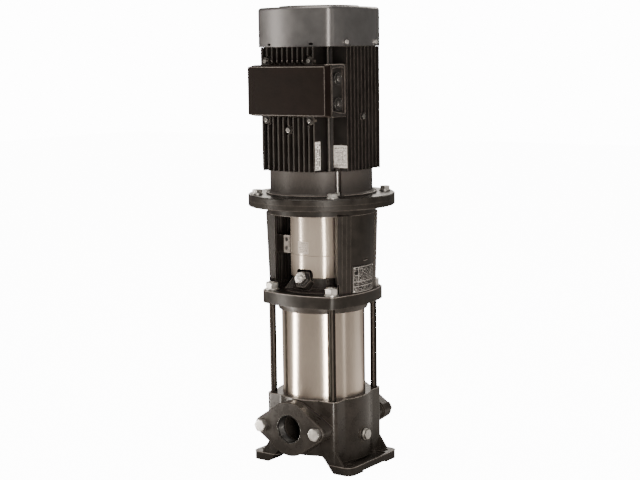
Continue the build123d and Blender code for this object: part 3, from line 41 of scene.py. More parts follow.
# the camera stands right of the inlet port and looks a little down
cameraSettings = {
    "place": (1.6659, -2.3188, 0.8464),
    "heading": math.radians(35.786),
    "tilt": math.radians(7.698),
    "roll": math.radians(-0.818),
    "lens": 78.81,
    "sensor": 36.0,
    "farEnd": 50,
}


def makeCamera(settings):
    heading, tilt, roll = settings["heading"], settings["tilt"], settings["roll"]
    reach = math.cos(tilt)
    forward = Vector((-math.sin(heading) * reach, math.cos(heading) * reach, -math.sin(tilt)))
    level = Vector((math.cos(heading), math.sin(heading), 0.0))
    upward = level.cross(forward)
    right = math.cos(roll) * level + math.sin(roll) * upward
    above = -math.sin(roll) * level + math.cos(roll) * upward
    data = bpy.data.cameras.new("photoCamera")
    data.lens = settings["lens"]
    data.sensor_width = settings["sensor"]
    data.clip_end = settings["farEnd"]
    camera = bpy.data.objects.new("photoCamera", data)
    turned = Matrix((right, above, -forward)).transposed().to_4x4()
    camera.matrix_world = Matrix.Translation(Vector(settings["place"])) @ turned
    bpy.context.scene.collection.objects.link(camera)
    bpy.context.scene.camera = camera
    return camera


makeCamera(cameraSettings)

# floor and soft studio light: soft boxes left, near the camera, right and above, and two that catch
# the far rims
stageSettings = {
    "floorHalf": 9.0, "floorColor": (0.48, 0.465, 0.45), "floorSeen": 13.0,
    "floorGloss": 0.9, "floorShine": 0.1, "worldSeen": 14.0, "worldLight": 0.25,
    "worldColor": (1, 0.95, 0.89),
}
lights = {
    "keyLeft": {"azimuth": -141, "distance": 2.6, "height": 1.1, "size": (0.4, 2.2), "power": 24},
    "keyNear": {"azimuth": -48, "distance": 3.4, "height": 1.3, "size": (0.5, 2.4), "power": 62},
    "fillRight": {"azimuth": 3, "distance": 2.8, "height": 0.8, "size": (0.25, 1.6), "power": 3.2},
    "topSoft": {"azimuth": -90, "distance": 0.5, "height": 3.2, "size": (2.4, 2.4), "power": 62},
    "rimBack": {"azimuth": 96, "distance": 2.6, "height": 2.3, "size": (1.0, 1.3), "power": 23},
    "rimFar": {"azimuth": 126, "distance": 3.0, "height": 1.2, "size": (0.8, 0.9), "power": 7},
}

# area lights that lie on the floor, mirrored in the sleeve and the guards
floorStrips = {
    "stripLeft": {"azimuth": -138, "start": 0.5, "end": 2.6, "width": 0.15, "power": 50},
    "stripNear": {"azimuth": -47, "start": 0.5, "end": 2.6, "width": 0.14, "power": 50},
    "glowRight": {"azimuth": 54, "start": 0.3, "end": 1.7, "width": 0.5, "power": 1.5},
}
lightColor = (1, 0.925, 0.84)
lightAim = (0, 0, 0.5)
stripHeight = 0.004


def makeStage(settings):
    # the camera sees floor and background near white, while the pump is lit by the soft boxes
    half = settings["floorHalf"]
    mesh = bpy.data.meshes.new("floor")
    corners = [(-half, -half, 0), (half, -half, 0), (half, half, 0), (-half, half, 0)]
    mesh.from_pydata(corners, [], [(0, 1, 2, 3)])
    floor = bpy.data.objects.new("floor", mesh)
    bpy.context.scene.collection.objects.link(floor)
    paint = bpy.data.materials.new("paleFloor")
    paint.use_nodes = True
    tree = paint.node_tree
    shader = tree.nodes["Principled BSDF"]
    shader.inputs["Base Color"].default_value = (*settings["floorColor"], 1)
    shader.inputs["Roughness"].default_value = settings["floorGloss"]
    shader.inputs["Specular IOR Level"].default_value = settings["floorShine"]
    shader.inputs["Emission Color"].default_value = (1, 1, 1, 1)
    path = tree.nodes.new("ShaderNodeLightPath")
    scale = tree.nodes.new("ShaderNodeMath")
    scale.operation = "MULTIPLY"
    scale.inputs[1].default_value = settings["floorSeen"]
    tree.links.new(path.outputs["Is Camera Ray"], scale.inputs[0])
    tree.links.new(scale.outputs[0], shader.inputs["Emission Strength"])
    mesh.materials.append(paint)
    world = bpy.data.worlds.new("studio")
    bpy.context.scene.world = world
    world.use_nodes = True
    tree = world.node_tree
    tree.nodes.clear()
    seen = tree.nodes.new("ShaderNodeBackground")
    lit = tree.nodes.new("ShaderNodeBackground")
    seen.inputs["Strength"].default_value = settings["worldSeen"]
    lit.inputs["Strength"].default_value = settings["worldLight"]
    seen.inputs["Color"].default_value = (1, 1, 1, 1)
    lit.inputs["Color"].default_value = (*settings["worldColor"], 1)
    path = tree.nodes.new("ShaderNodeLightPath")
    mix = tree.nodes.new("ShaderNodeMixShader")
    output = tree.nodes.new("ShaderNodeOutputWorld")
    tree.links.new(path.outputs["Is Camera Ray"], mix.inputs[0])
    tree.links.new(lit.outputs[0], mix.inputs[1])
    tree.links.new(seen.outputs[0], mix.inputs[2])
    tree.links.new(mix.outputs[0], output.inputs["Surface"])


def addAreaLight(name, size, power, place, turned):
    data = bpy.data.lights.new(name, "AREA")
    data.shape = "RECTANGLE"
    data.size, data.size_y = size
    data.energy = power
    data.color = lightColor
    light = bpy.data.objects.new(name, data)
    light.visible_camera = False
    light.matrix_world = Matrix.Translation(place) @ turned
    bpy.context.scene.collection.objects.link(light)


def makeLight(name, settings):
    # stands at an azimuth and a distance from the pump axis and looks at the aim point
    turn = math.radians(settings["azimuth"])
    reach = settings["distance"]
    place = Vector((reach * math.cos(turn), reach * math.sin(turn), settings["height"]))
    aim = Vector(lightAim) - place
    turned = aim.to_track_quat("-Z", "Y").to_matrix().to_4x4()
    addAreaLight(name, settings["size"], settings["power"], place, turned)


def makeFloorStrip(name, settings):
    # lies along one azimuth and shines up
    turn = math.radians(settings["azimuth"])
    middle = (settings["start"] + settings["end"]) / 2
    place = Vector((middle * math.cos(turn), middle * math.sin(turn), stripHeight))
    size = (settings["end"] - settings["start"], settings["width"])
    facingUp = Matrix.Rotation(turn, 4, "Z") @ Matrix.Rotation(math.pi, 4, "X")
    addAreaLight(name, size, settings["power"], place, facingUp)


makeStage(stageSettings)
for lightName, lightSettings in lights.items():
    makeLight(lightName, lightSettings)
for stripName, stripSettings in floorStrips.items():
    makeFloorStrip(stripName, stripSettings)
print("camera, floor and lights made")


# finishes, all procedural on object coordinates
def startMaterial(name):
    material = bpy.data.materials.new(name)
    material.use_nodes = True
    tree = material.node_tree
    shader = tree.nodes["Principled BSDF"]
    coords = tree.nodes.new("ShaderNodeTexCoord")
    return material, tree, shader, coords.outputs["Object"]


def addNoise(tree, coords, scale, detail=4, stretch=None):
    # noise on object coordinates, squeezed along an axis where stretch is given
    if stretch:
        mapping = tree.nodes.new("ShaderNodeMapping")
        mapping.inputs["Scale"].default_value = stretch
        tree.links.new(coords, mapping.inputs["Vector"])
        coords = mapping.outputs["Vector"]
    noise = tree.nodes.new("ShaderNodeTexNoise")
    noise.inputs["Scale"].default_value = scale
    noise.inputs["Detail"].default_value = detail
    tree.links.new(coords, noise.inputs["Vector"])
    return noise.outputs["Fac"]


def addRamp(tree, factor, low, high, start=0.35, end=0.65):
    ramp = tree.nodes.new("ShaderNodeValToRGB")
    ramp.color_ramp.elements[0].position = start
    ramp.color_ramp.elements[1].position = end
    ramp.color_ramp.elements[0].color = (*low, 1)
    ramp.color_ramp.elements[1].color = (*high, 1)
    tree.links.new(factor, ramp.inputs["Fac"])
    return ramp.outputs["Color"]


def addSpan(tree, value, start, end, low=0.0, high=1.0):
    # the value from start to end becomes low to high
    span = tree.nodes.new("ShaderNodeMapRange")
    for socket, amount in (("From Min", start), ("From Max", end), ("To Min", low), ("To Max", high)):
        span.inputs[socket].default_value = amount
    tree.links.new(value, span.inputs["Value"])
    return span.outputs["Result"]


noiseSpan = (0.3, 0.7)


def addRange(tree, noise, low, high):
    # most of a noise lies in the middle span
    return addSpan(tree, noise, *noiseSpan, low, high)


def addBump(tree, factor, strength, depth, under=None):
    bump = tree.nodes.new("ShaderNodeBump")
    bump.inputs["Strength"].default_value = strength
    bump.inputs["Distance"].default_value = depth
    tree.links.new(factor, bump.inputs["Height"])
    if under:
        tree.links.new(under, bump.inputs["Normal"])
    return bump.outputs["Normal"]


castLook = {
    "fineDetail": 5, "softDetail": 3, "tintScale": 45, "tintDetail": 6, "coatGloss": 0.18,
    "edgeSamples": 4, "edgeStart": 0.985, "edgeEnd": 0.86,
}


def addEdgeMask(tree, radius, look):
    # how far the rounded normal turns from the true one: near 0 on flats, rising at the edges
    rounded = tree.nodes.new("ShaderNodeBevel")
    rounded.inputs["Radius"].default_value = radius
    rounded.samples = look["edgeSamples"]
    true = tree.nodes.new("ShaderNodeNewGeometry")
    dot = tree.nodes.new("ShaderNodeVectorMath")
    dot.operation = "DOT_PRODUCT"
    tree.links.new(rounded.outputs["Normal"], dot.inputs[0])
    tree.links.new(true.outputs["True Normal"], dot.inputs[1])
    return addSpan(tree, dot.outputs["Value"], look["edgeStart"], look["edgeEnd"])


def mixColors(tree, factor, first, second):
    # from a color socket to a fixed color
    mix = tree.nodes.new("ShaderNodeMixRGB")
    tree.links.new(factor, mix.inputs[0])
    tree.links.new(first, mix.inputs[1])
    mix.inputs[2].default_value = (*second, 1)
    return mix.outputs[0]


def paintOnCasting(name, dark, light, gloss, grain, swell, edge=None, shine=0.5, coat=0.0, metallic=0.0):
    # enamel over a sand casting: fine grain, soft swells, dust in the paint, and a lighter colour painted
    # along the edges as a highlight
    look = castLook
    material, tree, shader, coords = startMaterial(name)
    fine = addNoise(tree, coords, grain[0], look["fineDetail"])
    soft = addNoise(tree, coords, swell[0], look["softDetail"])
    tint = addNoise(tree, coords, look["tintScale"], look["tintDetail"])
    paint = addRamp(tree, tint, dark, light)
    # where an edge colour is given, the edge mask blends it in: a painted highlight on the rounded edges
    if edge:
        paint = mixColors(tree, addEdgeMask(tree, edge["radius"], look), paint, edge["color"])
    tree.links.new(paint, shader.inputs["Base Color"])
    tree.links.new(addRange(tree, tint, *gloss), shader.inputs["Roughness"])
    shader.inputs["Specular IOR Level"].default_value = shine
    shader.inputs["Metallic"].default_value = metallic
    rough = addBump(tree, fine, grain[1], grain[2])
    tree.links.new(addBump(tree, soft, swell[1], swell[2], rough), shader.inputs["Normal"])
    shader.inputs["Coat Weight"].default_value = coat
    shader.inputs["Coat Roughness"].default_value = look["coatGloss"]
    return material


metalLook = {
    "scratchDetail": 3, "scratchDepth": 0.00005, "cloudScale": 14, "cloudDetail": 3, "darker": 0.95,
    "turnedAngle": 0.25,
}


def brushedMetal(name, color, gloss, lines, turned=0.0):
    # metal with fine scratches; lines gives how the scratch noise is stretched
    look = metalLook
    material, tree, shader, coords = startMaterial(name)
    shader.inputs["Metallic"].default_value = 1
    scratch = addNoise(tree, coords, lines["scale"], look["scratchDetail"], lines["stretch"])
    cloud = addNoise(tree, coords, look["cloudScale"], look["cloudDetail"])
    darker = tuple(c * look["darker"] for c in color)
    tree.links.new(addRamp(tree, cloud, darker, color), shader.inputs["Base Color"])
    tree.links.new(addRange(tree, scratch, *gloss), shader.inputs["Roughness"])
    tree.links.new(addBump(tree, scratch, lines["strength"], look["scratchDepth"]), shader.inputs["Normal"])
    if turned:
        # the lathe marks run around the axis, so the light is drawn out along it
        shader.inputs["Anisotropic"].default_value = turned
        shader.inputs["Anisotropic Rotation"].default_value = look["turnedAngle"]
        tangent = tree.nodes.new("ShaderNodeTangent")
        tangent.direction_type = "RADIAL"
        tangent.axis = "Z"
        tree.links.new(tangent.outputs[0], shader.inputs["Tangent"])
    return material


def cloudyFinish(name, low, high, gloss, look, metallic):
    # color and roughness follow a cloud noise, the bump a fine one
    material, tree, shader, coords = startMaterial(name)
    shader.inputs["Metallic"].default_value = metallic
    cloud = addNoise(tree, coords, look["cloudScale"], look["cloudDetail"])
    fine = addNoise(tree, coords, look["fineScale"], look["fineDetail"])
    tree.links.new(addRamp(tree, cloud, low, high), shader.inputs["Base Color"])
    tree.links.new(addRange(tree, cloud, *gloss), shader.inputs["Roughness"])
    tree.links.new(addBump(tree, fine, look["strength"], look["depth"]), shader.inputs["Normal"])
    return material


platedLook = {
    "cloudScale": 120, "cloudDetail": 5, "fineScale": 900, "fineDetail": 3, "darker": 0.78,
    "strength": 0.15, "depth": 0.00004,
}
plasticLook = {
    "cloudScale": 60, "cloudDetail": 4, "fineScale": 1400, "fineDetail": 3, "lighter": 1.5, "dust": 0.002,
    "strength": 0.2, "depth": 0.00005,
}


def platedSteel(name, color, gloss):
    # plated or bare metal, a little cloudy
    darker = tuple(c * platedLook["darker"] for c in color)
    return cloudyFinish(name, darker, color, gloss, platedLook, 1)


def softPlastic(name, color, gloss):
    # moulded plastic or rubber with a fine spark texture
    lighter = tuple(c * plasticLook["lighter"] + plasticLook["dust"] for c in color)
    return cloudyFinish(name, color, lighter, gloss, plasticLook, 0)


def addZone(material, settings):
    # a second look past a height ("Z") or past a distance from the axis ("radius"), laid over the first
    tree = material.node_tree
    shader = tree.nodes["Principled BSDF"]
    coords = tree.nodes.new("ShaderNodeTexCoord").outputs["Object"]
    split = tree.nodes.new("ShaderNodeSeparateXYZ")
    tree.links.new(coords, split.inputs[0])
    value = split.outputs["Z"]
    if settings["along"] == "radius":
        flat = tree.nodes.new("ShaderNodeCombineXYZ")
        tree.links.new(split.outputs["X"], flat.inputs[0])
        tree.links.new(split.outputs["Y"], flat.inputs[1])
        length = tree.nodes.new("ShaderNodeVectorMath")
        length.operation = "LENGTH"
        tree.links.new(flat.outputs[0], length.inputs[0])
        value = length.outputs["Value"]
    zone = addSpan(tree, value, settings["start"], settings["end"])
    under = shader.inputs["Base Color"].links[0].from_socket
    tree.links.new(mixColors(tree, zone, under, settings["color"]), shader.inputs["Base Color"])
    rough = shader.inputs["Roughness"].links[0].from_socket
    gloss = settings["gloss"]
    tree.links.new(mixColors(tree, zone, rough, (gloss, gloss, gloss)), shader.inputs["Roughness"])
    return zone


# a grain or swell is a noise scale, a bump strength and a bump depth
castGrain, castSwell = (420, 0.12, 0.0002), (55, 0.22, 0.0008)
boxGrain, boxSwell = (1500, 0.22, 0.0001), (30, 0.05, 0.0006)
highlightGrain, highlightSwell = (900, 0.1, 0.0001), (60, 0.1, 0.0004)
# here and in the finishes below, the colour of each edge dict is a painted highlight laid along the rounded
# edges
boxEdgeHighlight = {"radius": 0.0018, "color": (0.1, 0.085, 0.075)}
finishes = {
    "casting": paintOnCasting("castingEnamel", (0.021, 0.0181, 0.0157), (0.032, 0.0276, 0.024), (0.24, 0.34),
                              castGrain, castSwell, {"radius": 0.0022, "color": (0.085, 0.074, 0.065)}, 0.24),
    "motorPaint": paintOnCasting("motorPaint", (0.006, 0.005, 0.0045), (0.01, 0.0085, 0.0075), (0.4, 0.52),
                                 (1100, 0.2, 0.0001), (60, 0.08, 0.0004),
                                 {"radius": 0.0012, "color": (0.09, 0.079, 0.07)}, 0.26),
    "boxPaint": paintOnCasting("boxPaint", (0.0046, 0.0024, 0.0015), (0.0062, 0.0034, 0.0023), (0.5, 0.6),
                               boxGrain, boxSwell, boxEdgeHighlight, 0.1),
    "boxBase": paintOnCasting("boxBasePaint", (0.013, 0.0115, 0.0105), (0.018, 0.016, 0.0145), (0.36, 0.46),
                              boxGrain, boxSwell, boxEdgeHighlight, 0.35),
    "cover": paintOnCasting("coverGraphite", (0.158, 0.155, 0.158), (0.178, 0.175, 0.178), (0.33, 0.38),
                            (1600, 0.12, 0.00006), (25, 0.04, 0.0006),
                            {"radius": 0.0016, "color": (0.22, 0.213, 0.21)}, coat=0.1, metallic=0.85),
    "sleeve": brushedMetal("sleeveStainless", (0.78, 0.685, 0.59), (0.28, 0.32),
                           {"scale": 60, "stretch": (1, 1, 12), "strength": 0.012}, 0.95),
    "guard": brushedMetal("guardStainless", (0.46, 0.4, 0.34), (0.22, 0.27),
                          {"scale": 60, "stretch": (1, 1, 12), "strength": 0.015}, 0.95),
    "plating": platedSteel("zincPlating", (0.72, 0.71, 0.68), (0.3, 0.46)),
    "rod": platedSteel("blackenedRod", (0.028, 0.024, 0.021), (0.42, 0.52)),
    "tieBolt": platedSteel("dullTieBolt", (0.085, 0.08, 0.075), (0.42, 0.55)),
    "shaft": brushedMetal("groundSteel", (0.6, 0.58, 0.55), (0.2, 0.32),
                          {"scale": 80, "stretch": (1, 1, 30), "strength": 0.06}),
    "rubber": softPlastic("sealRubber", (0.012, 0.012, 0.012), (0.5, 0.65)),
    "plastic": softPlastic("blackPlastic", (0.008, 0.0075, 0.007), (0.38, 0.5)),
    "gasket": softPlastic("gasketFibre", (0.06, 0.052, 0.045), (0.7, 0.85)),
    "copper": platedSteel("windingCopper", (0.6, 0.26, 0.12), (0.4, 0.55)),
    "iron": platedSteel("sheetIron", (0.3, 0.29, 0.28), (0.45, 0.6)),
    "face": softPlastic("sealFace", (0.05, 0.05, 0.052), (0.25, 0.35)),
    # near black: painted shade inside the ports
    "bore": softPlastic("shadedBore", (0.004, 0.0036, 0.0033), (0.3, 0.4)),
    # pale metal used only for the fin-end domes, which stand as painted highlights
    "finEndHighlight": platedSteel("finEndHighlightMetal", (0.4, 0.37, 0.34), (0.25, 0.36)),
    # the next two are pale colours for the beads along rims and edges: painted highlights
    "rimHighlight": paintOnCasting("rimHighlight", (0.13, 0.115, 0.104), (0.22, 0.2, 0.184), (0.3, 0.42),
                               highlightGrain, highlightSwell),
    "dimRimHighlight": paintOnCasting("dimRimHighlight", (0.05, 0.043, 0.038), (0.085, 0.074, 0.066), (0.35, 0.45),
                               highlightGrain, highlightSwell),
    "wetPaint": paintOnCasting("wetPaint", (0.006, 0.005, 0.0042), (0.011, 0.0092, 0.0078), (0.12, 0.18),
                               (420, 0.08, 0.0002), (55, 0.15, 0.0008), coat=0.4),
    "glossPlastic": softPlastic("glossPlastic", (0.022, 0.02, 0.019), (0.1, 0.16)),
    "dimScrew": platedSteel("dimScrew", (0.48, 0.465, 0.445), (0.18, 0.28)),
    "brightScrew": platedSteel("brightScrew", (0.95, 0.93, 0.9), (0.42, 0.55)),
    "shield": paintOnCasting("shieldEnamel", (0.01, 0.0086, 0.0075), (0.018, 0.0155, 0.0135), (0.26, 0.38),
                             (300, 0.22, 0.0003), (55, 0.26, 0.0008), shine=0.28),
    "head": paintOnCasting("headEnamel", (0.02, 0.0172, 0.015), (0.034, 0.029, 0.0255), (0.3, 0.42),
                           castGrain, castSwell, {"radius": 0.0022, "color": (0.14, 0.125, 0.11)}, 0.25),
    "stool": paintOnCasting("stoolEnamel", (0.011, 0.0095, 0.0082), (0.017, 0.0145, 0.0125), (0.3, 0.4),
                            castGrain, castSwell, {"radius": 0.0022, "color": (0.06, 0.053, 0.046)}, 0.22),
}

# above its flange the drive end shield has a rougher coat in a paler colour that is painted sheen, and the
# ears of the guards are dull
neckSheenZone = {"along": "Z", "start": 0.5605, "end": 0.5615, "color": (0.056, 0.05, 0.0465), "gloss": 0.42}
earZone = {"along": "radius", "start": 0.0662, "end": 0.0668, "color": (0.5, 0.465, 0.43), "gloss": 0.5,
           "metalInside": 0.62, "metalOutside": 0.25}


def fadeMetal(material, zone, settings):
    # less metallic past the zone's start
    tree = material.node_tree
    fade = addSpan(tree, zone, 0, 1, settings["metalInside"], settings["metalOutside"])
    tree.links.new(fade, tree.nodes["Principled BSDF"].inputs["Metallic"])


addZone(finishes["shield"], neckSheenZone)
fadeMetal(finishes["guard"], addZone(finishes["guard"], earZone), earZone)
print("finishes made")

wornBy = {
    "casting": ["pump_base", "inlet_flange", "outlet_flange", "coupling_half_front", "coupling_half_rear"],
    "stool": ["motor_stool"],
    "shield": ["drive_end_shield"],
    "head": ["pump_head"],
    "motorPaint": ["stator_housing", "fan_end_shield"],
    "boxPaint": ["terminal_box_lid"],
    "boxBase": ["terminal_box_base"],
    "cover": ["fan_cover"],
    "sleeve": ["outer_sleeve"],
    "guard": ["coupling_guard_front", "coupling_guard_rear"],
    "plating": ["port_flange_bolts", "drain_plug", "staybolt_nuts", "staybolt_washers", "guard_screws",
                "vent_screw", "motor_flange_bolts", "end_shield_screws", "coupling_screws",
                "motor_nameplate", "stool_nameplate"],
    "dimScrew": ["housing_screws", "terminal_box_screws"],
    "brightScrew": ["fan_cover_screws"],
    "rod": ["staybolts"],
    "tieBolt": ["motor_tie_bolts"],
    "shaft": ["priming_plug", "shaft_seal_seat", "stack_top_plate", "motor_shaft", "pump_shaft",
              "bearing_balls", "bearing_inner_rings", "bearing_outer_rings", "coupling_pin"],
    "rubber": ["plug_seals", "sleeve_seals"],
    "plastic": ["cable_entry_plugs", "cooling_fan", "terminal_board"],
    "gasket": ["port_gaskets"],
    "copper": ["stator_winding"],
    "iron": ["stator_core", "rotor_core"],
    "face": ["shaft_seal_ring", "neck_rings"],
}


def wear(nodeName, material):
    mesh = nodes[nodeName].data
    mesh.materials.clear()
    mesh.materials.append(material)


for finish, names in wornBy.items():
    for nodeName in names:
        wear(nodeName, finishes[finish])
for nodeName in nodes:
    if nodeName.startswith(("chamber_", "impeller_")):
        wear(nodeName, finishes["sleeve"])

# cast edges are round: the loose triangles are joined, then the sharp edges get a small radius
edgeRadius = {
    "pump_base": 0.0018, "inlet_flange": 0.0022, "outlet_flange": 0.0022, "motor_stool": 0.0006,
    "drive_end_shield": 0.0005, "pump_head": 0.0012, "stator_housing": 0.0006, "terminal_box_lid": 0.0012,
    "terminal_box_base": 0.0012, "fan_cover": 0.0006, "drain_plug": 0.0004, "priming_plug": 0.0004,
    "port_flange_bolts": 0.0005, "staybolt_nuts": 0.0005, "staybolt_washers": 0.0005,
    "motor_flange_bolts": 0.0005, "coupling_guard_front": 0.0003, "coupling_guard_rear": 0.0003,
}
edgeLook = {"merge": 0.00001, "segments": 2, "angle": 32, "weight": 50}


def roundEdges(nodeName, radius):
    node = nodes[nodeName]
    weld = node.modifiers.new("join", "WELD")
    weld.merge_threshold = edgeLook["merge"]
    bevel = node.modifiers.new("edge", "BEVEL")
    bevel.width = radius
    bevel.segments = edgeLook["segments"]
    bevel.limit_method = "ANGLE"
    bevel.angle_limit = math.radians(edgeLook["angle"])
    bevel.use_clamp_overlap = True
    shade = node.modifiers.new("shade", "WEIGHTED_NORMAL")
    shade.keep_sharp = False
    shade.weight = edgeLook["weight"]


for nodeName, radius in edgeRadius.items():
    roundEdges(nodeName, radius)
print("edges rounded")


# shared ways to make a mesh
def gridFaces(rows, columns, closeRows=False, closeColumns=False):
    # corner numbers of each square between neighbouring rows and columns, wrapping round where asked
    r = np.arange(rows if closeRows else rows - 1)[:, None]
    c = np.arange(columns if closeColumns else columns - 1)[None, :]
    r2, c2 = (r + 1) % rows, (c + 1) % columns
    corners = [r * columns + c, r * columns + c2, r2 * columns + c2, r2 * columns + c]
    return np.stack(corners, -1).reshape(-1, 4)


def aroundAxis(radius, angle, height):
    # point = (radius * cos(angle), radius * sin(angle), height)
    return np.stack(np.broadcast_arrays(radius * np.cos(angle), radius * np.sin(angle), height), -1)


def addPiece(name, points, faces, material, body="pump_frame", flat=False):
    mesh = bpy.data.meshes.new(name)
    faces = faces if isinstance(faces, list) else faces.tolist()
    mesh.from_pydata(points.reshape(-1, 3).tolist(), [], faces)
    mesh.polygons.foreach_set("use_smooth", np.full(len(mesh.polygons), not flat))
    mesh.materials.append(material)
    piece = bpy.data.objects.new(name, mesh)
    bpy.context.scene.collection.objects.link(piece)
    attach(piece, body)
    return piece


def addAttribute(piece, name, values):
    layer = piece.data.attributes.new(name, "FLOAT", "POINT")
    layer.data.foreach_set("value", values.astype(np.float32).ravel())


def thicken(piece, thickness):
    wall = piece.modifiers.new("wall", "SOLIDIFY")
    wall.thickness = thickness
    wall.offset = -1


def nodePoints(nodeName):
    # all corners of a CAD node as an array
    mesh = nodes[nodeName].data
    points = np.empty(len(mesh.vertices) * 3)
    mesh.vertices.foreach_get("co", points)
    return points.reshape(-1, 3)


endBand = 0.0005


def nodeRadius(nodeName, atTop):
    # the widest distance from the pump axis, sqrt(x^2 + y^2), at the node's lower or upper end
    points = nodePoints(nodeName)
    end = points[:, 2].max() if atTop else points[:, 2].min()
    near = points[np.abs(points[:, 2] - end) < endBand]
    return np.hypot(near[:, 0], near[:, 1]).max()


# pipe thread inside the two ports, near black as painted shade in the bore
portThread = {"crest": 0.0272, "root": 0.02825, "wall": 0.0002, "pitch": 0.0023, "turns": 9, "perTurn": 96,
              "perPitch": 10, "fade": 1, "start": 0.003}


def threadShape(length, rows, settings):
    # radius = root + (crest - root) * triangle(along / pitch - turn), faded in and out at the ends, and two
    # rows behind it that close the ring; comes with the way along the axis and the angle
    along = np.linspace(0, length, rows)[:, None]
    turn = np.arange(settings["perTurn"])[None, :] / settings["perTurn"]
    ridge = 1 - np.abs(2 * ((along / settings["pitch"] - turn) % 1) - 1)
    fade = np.clip(np.minimum(along, length - along) / settings["pitch"] * settings["fade"], 0, 1)
    radius = settings["root"] + (settings["crest"] - settings["root"]) * ridge * fade
    behind = np.full((2, settings["perTurn"]), settings["root"] + settings["wall"])
    return np.vstack([radius, behind]), np.vstack([along, [[length]], [[0]]]), 2 * np.pi * turn


def addPortThread(name, side, faceY, centreZ, settings, material):
    # x = side * radius * cos(angle), y = faceY - side * (start + along), z = centreZ + radius * sin(angle)
    length = settings["turns"] * settings["pitch"]
    radius, along, angle = threadShape(length, settings["turns"] * settings["perPitch"], settings)
    x = radius * np.cos(angle) * side
    y = faceY - side * (settings["start"] + along)
    z = centreZ + radius * np.sin(angle)
    faces = gridFaces(len(radius), settings["perTurn"], True, True)[:, ::-1]
    return addPiece(name, np.stack(np.broadcast_arrays(x, y, z), -1), faces, material)


inletLow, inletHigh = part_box("inlet_flange")
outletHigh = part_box("outlet_flange")[1]
portZ = (inletLow.z + inletHigh.z) / 2
addPortThread("inlet_thread", -1, inletLow.y, portZ, portThread, finishes["bore"])
addPortThread("outlet_thread", 1, outletHigh.y, portZ, portThread, finishes["bore"])
print("port threads made")

# rolled thread on the free ends of the staybolts
boltThread = {"root": 0.00702, "crest": 0.00735, "wall": -0.0006, "pitch": 0.002, "perTurn": 28,
              "perPitch": 8, "fade": 2, "shank": 0.007, "start": 0.0001, "tip": 0.0013}


def addBoltThreads(name, centres, bottom, top, settings, material):
    # one thread round the axis, repeated at each centre
    rows = int((top - bottom) / settings["pitch"] * settings["perPitch"])
    radius, along, angle = threadShape(top - bottom, rows, settings)
    one = aroundAxis(radius, angle, bottom + along)
    faces = gridFaces(len(radius), settings["perTurn"], True, True)
    shifts = np.array([[x, y, 0] for x, y in centres])
    points = one.reshape(1, -1, 3) + shifts[:, None, :]
    allFaces = faces[None] + np.arange(len(centres))[:, None, None] * one[..., 0].size
    return addPiece(name, points, allFaces.reshape(-1, 4), material)


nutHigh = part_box("staybolt_nuts")[1]
rodLow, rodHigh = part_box("staybolts")
rodSpread = (rodHigh.x - rodLow.x) / 2 - boltThread["shank"]
rodPlaces = [(x, y) for x in (-rodSpread, rodSpread) for y in (-rodSpread, rodSpread)]
addBoltThreads("staybolt_threads", rodPlaces, nutHigh.z + boltThread["start"], rodHigh.z - boltThread["tip"],
               boltThread, finishes["plating"])
print("staybolt threads made")

# plates and labels with their prints and pins
inkLook = {"grimeScale": 260, "strength": 0.4, "depth": 0.00004}


def addInk(name, ground, ink, gloss, metal, shine=0.5):
    # a printed plate: the ink attribute says where the print lies
    material, tree, shader, coords = startMaterial(name)
    layer = tree.nodes.new("ShaderNodeAttribute")
    layer.attribute_name = "ink"
    grime = addNoise(tree, coords, inkLook["grimeScale"])
    ramp = tree.nodes.new("ShaderNodeMixRGB")
    ramp.inputs[1].default_value = (*ground, 1)
    ramp.inputs[2].default_value = (*ink, 1)
    tree.links.new(layer.outputs["Fac"], ramp.inputs[0])
    tree.links.new(ramp.outputs[0], shader.inputs["Base Color"])
    tree.links.new(addRange(tree, grime, *gloss), shader.inputs["Roughness"])
    shader.inputs["Metallic"].default_value = metal
    shader.inputs["Specular IOR Level"].default_value = shine
    relief = addBump(tree, layer.outputs["Fac"], inkLook["strength"], inkLook["depth"])
    tree.links.new(relief, shader.inputs["Normal"])
    return material


ruleShare = 0.8
textInset = 1.9
scatter = {"cell": 12.9898, "row": 78.233, "spread": 43758.5453}


def ruledPrint(across, up, width, height, settings):
    # ink where a point lies on the border, on a rule, or on a dash of a printed row
    margin, line = settings["margin"], settings["line"]
    rule = line * ruleShare
    edge = np.minimum(np.minimum(across, width - across), np.minimum(up, height - up))
    ink = (np.abs(edge - margin) < line).astype(float)
    inside = edge > margin
    for share in settings["rules"]:
        ink = np.maximum(ink, (np.abs(up - share * height) < rule) * inside)
    low, high = settings["columnSpan"]
    inColumns = inside * (up > low * height) * (up < high * height)
    for share in settings["columns"]:
        ink = np.maximum(ink, (np.abs(across - share * width) < rule) * inColumns)
    pitch = settings["rowPitch"]
    row = np.floor(up / pitch)
    inRow = np.abs(up / pitch - row - 0.5) < settings["rowShare"]
    # each cell is filled or left by the fraction of sin(cell * factor + row * factor) * spread
    cell = np.floor(across / settings["dash"])
    chance = np.sin(cell * scatter["cell"] + row * scatter["row"]) * scatter["spread"]
    written = inRow * (chance - np.floor(chance) > settings["dashLevel"]) * (edge > margin * textInset)
    return np.maximum(ink, written * settings["dashInk"])


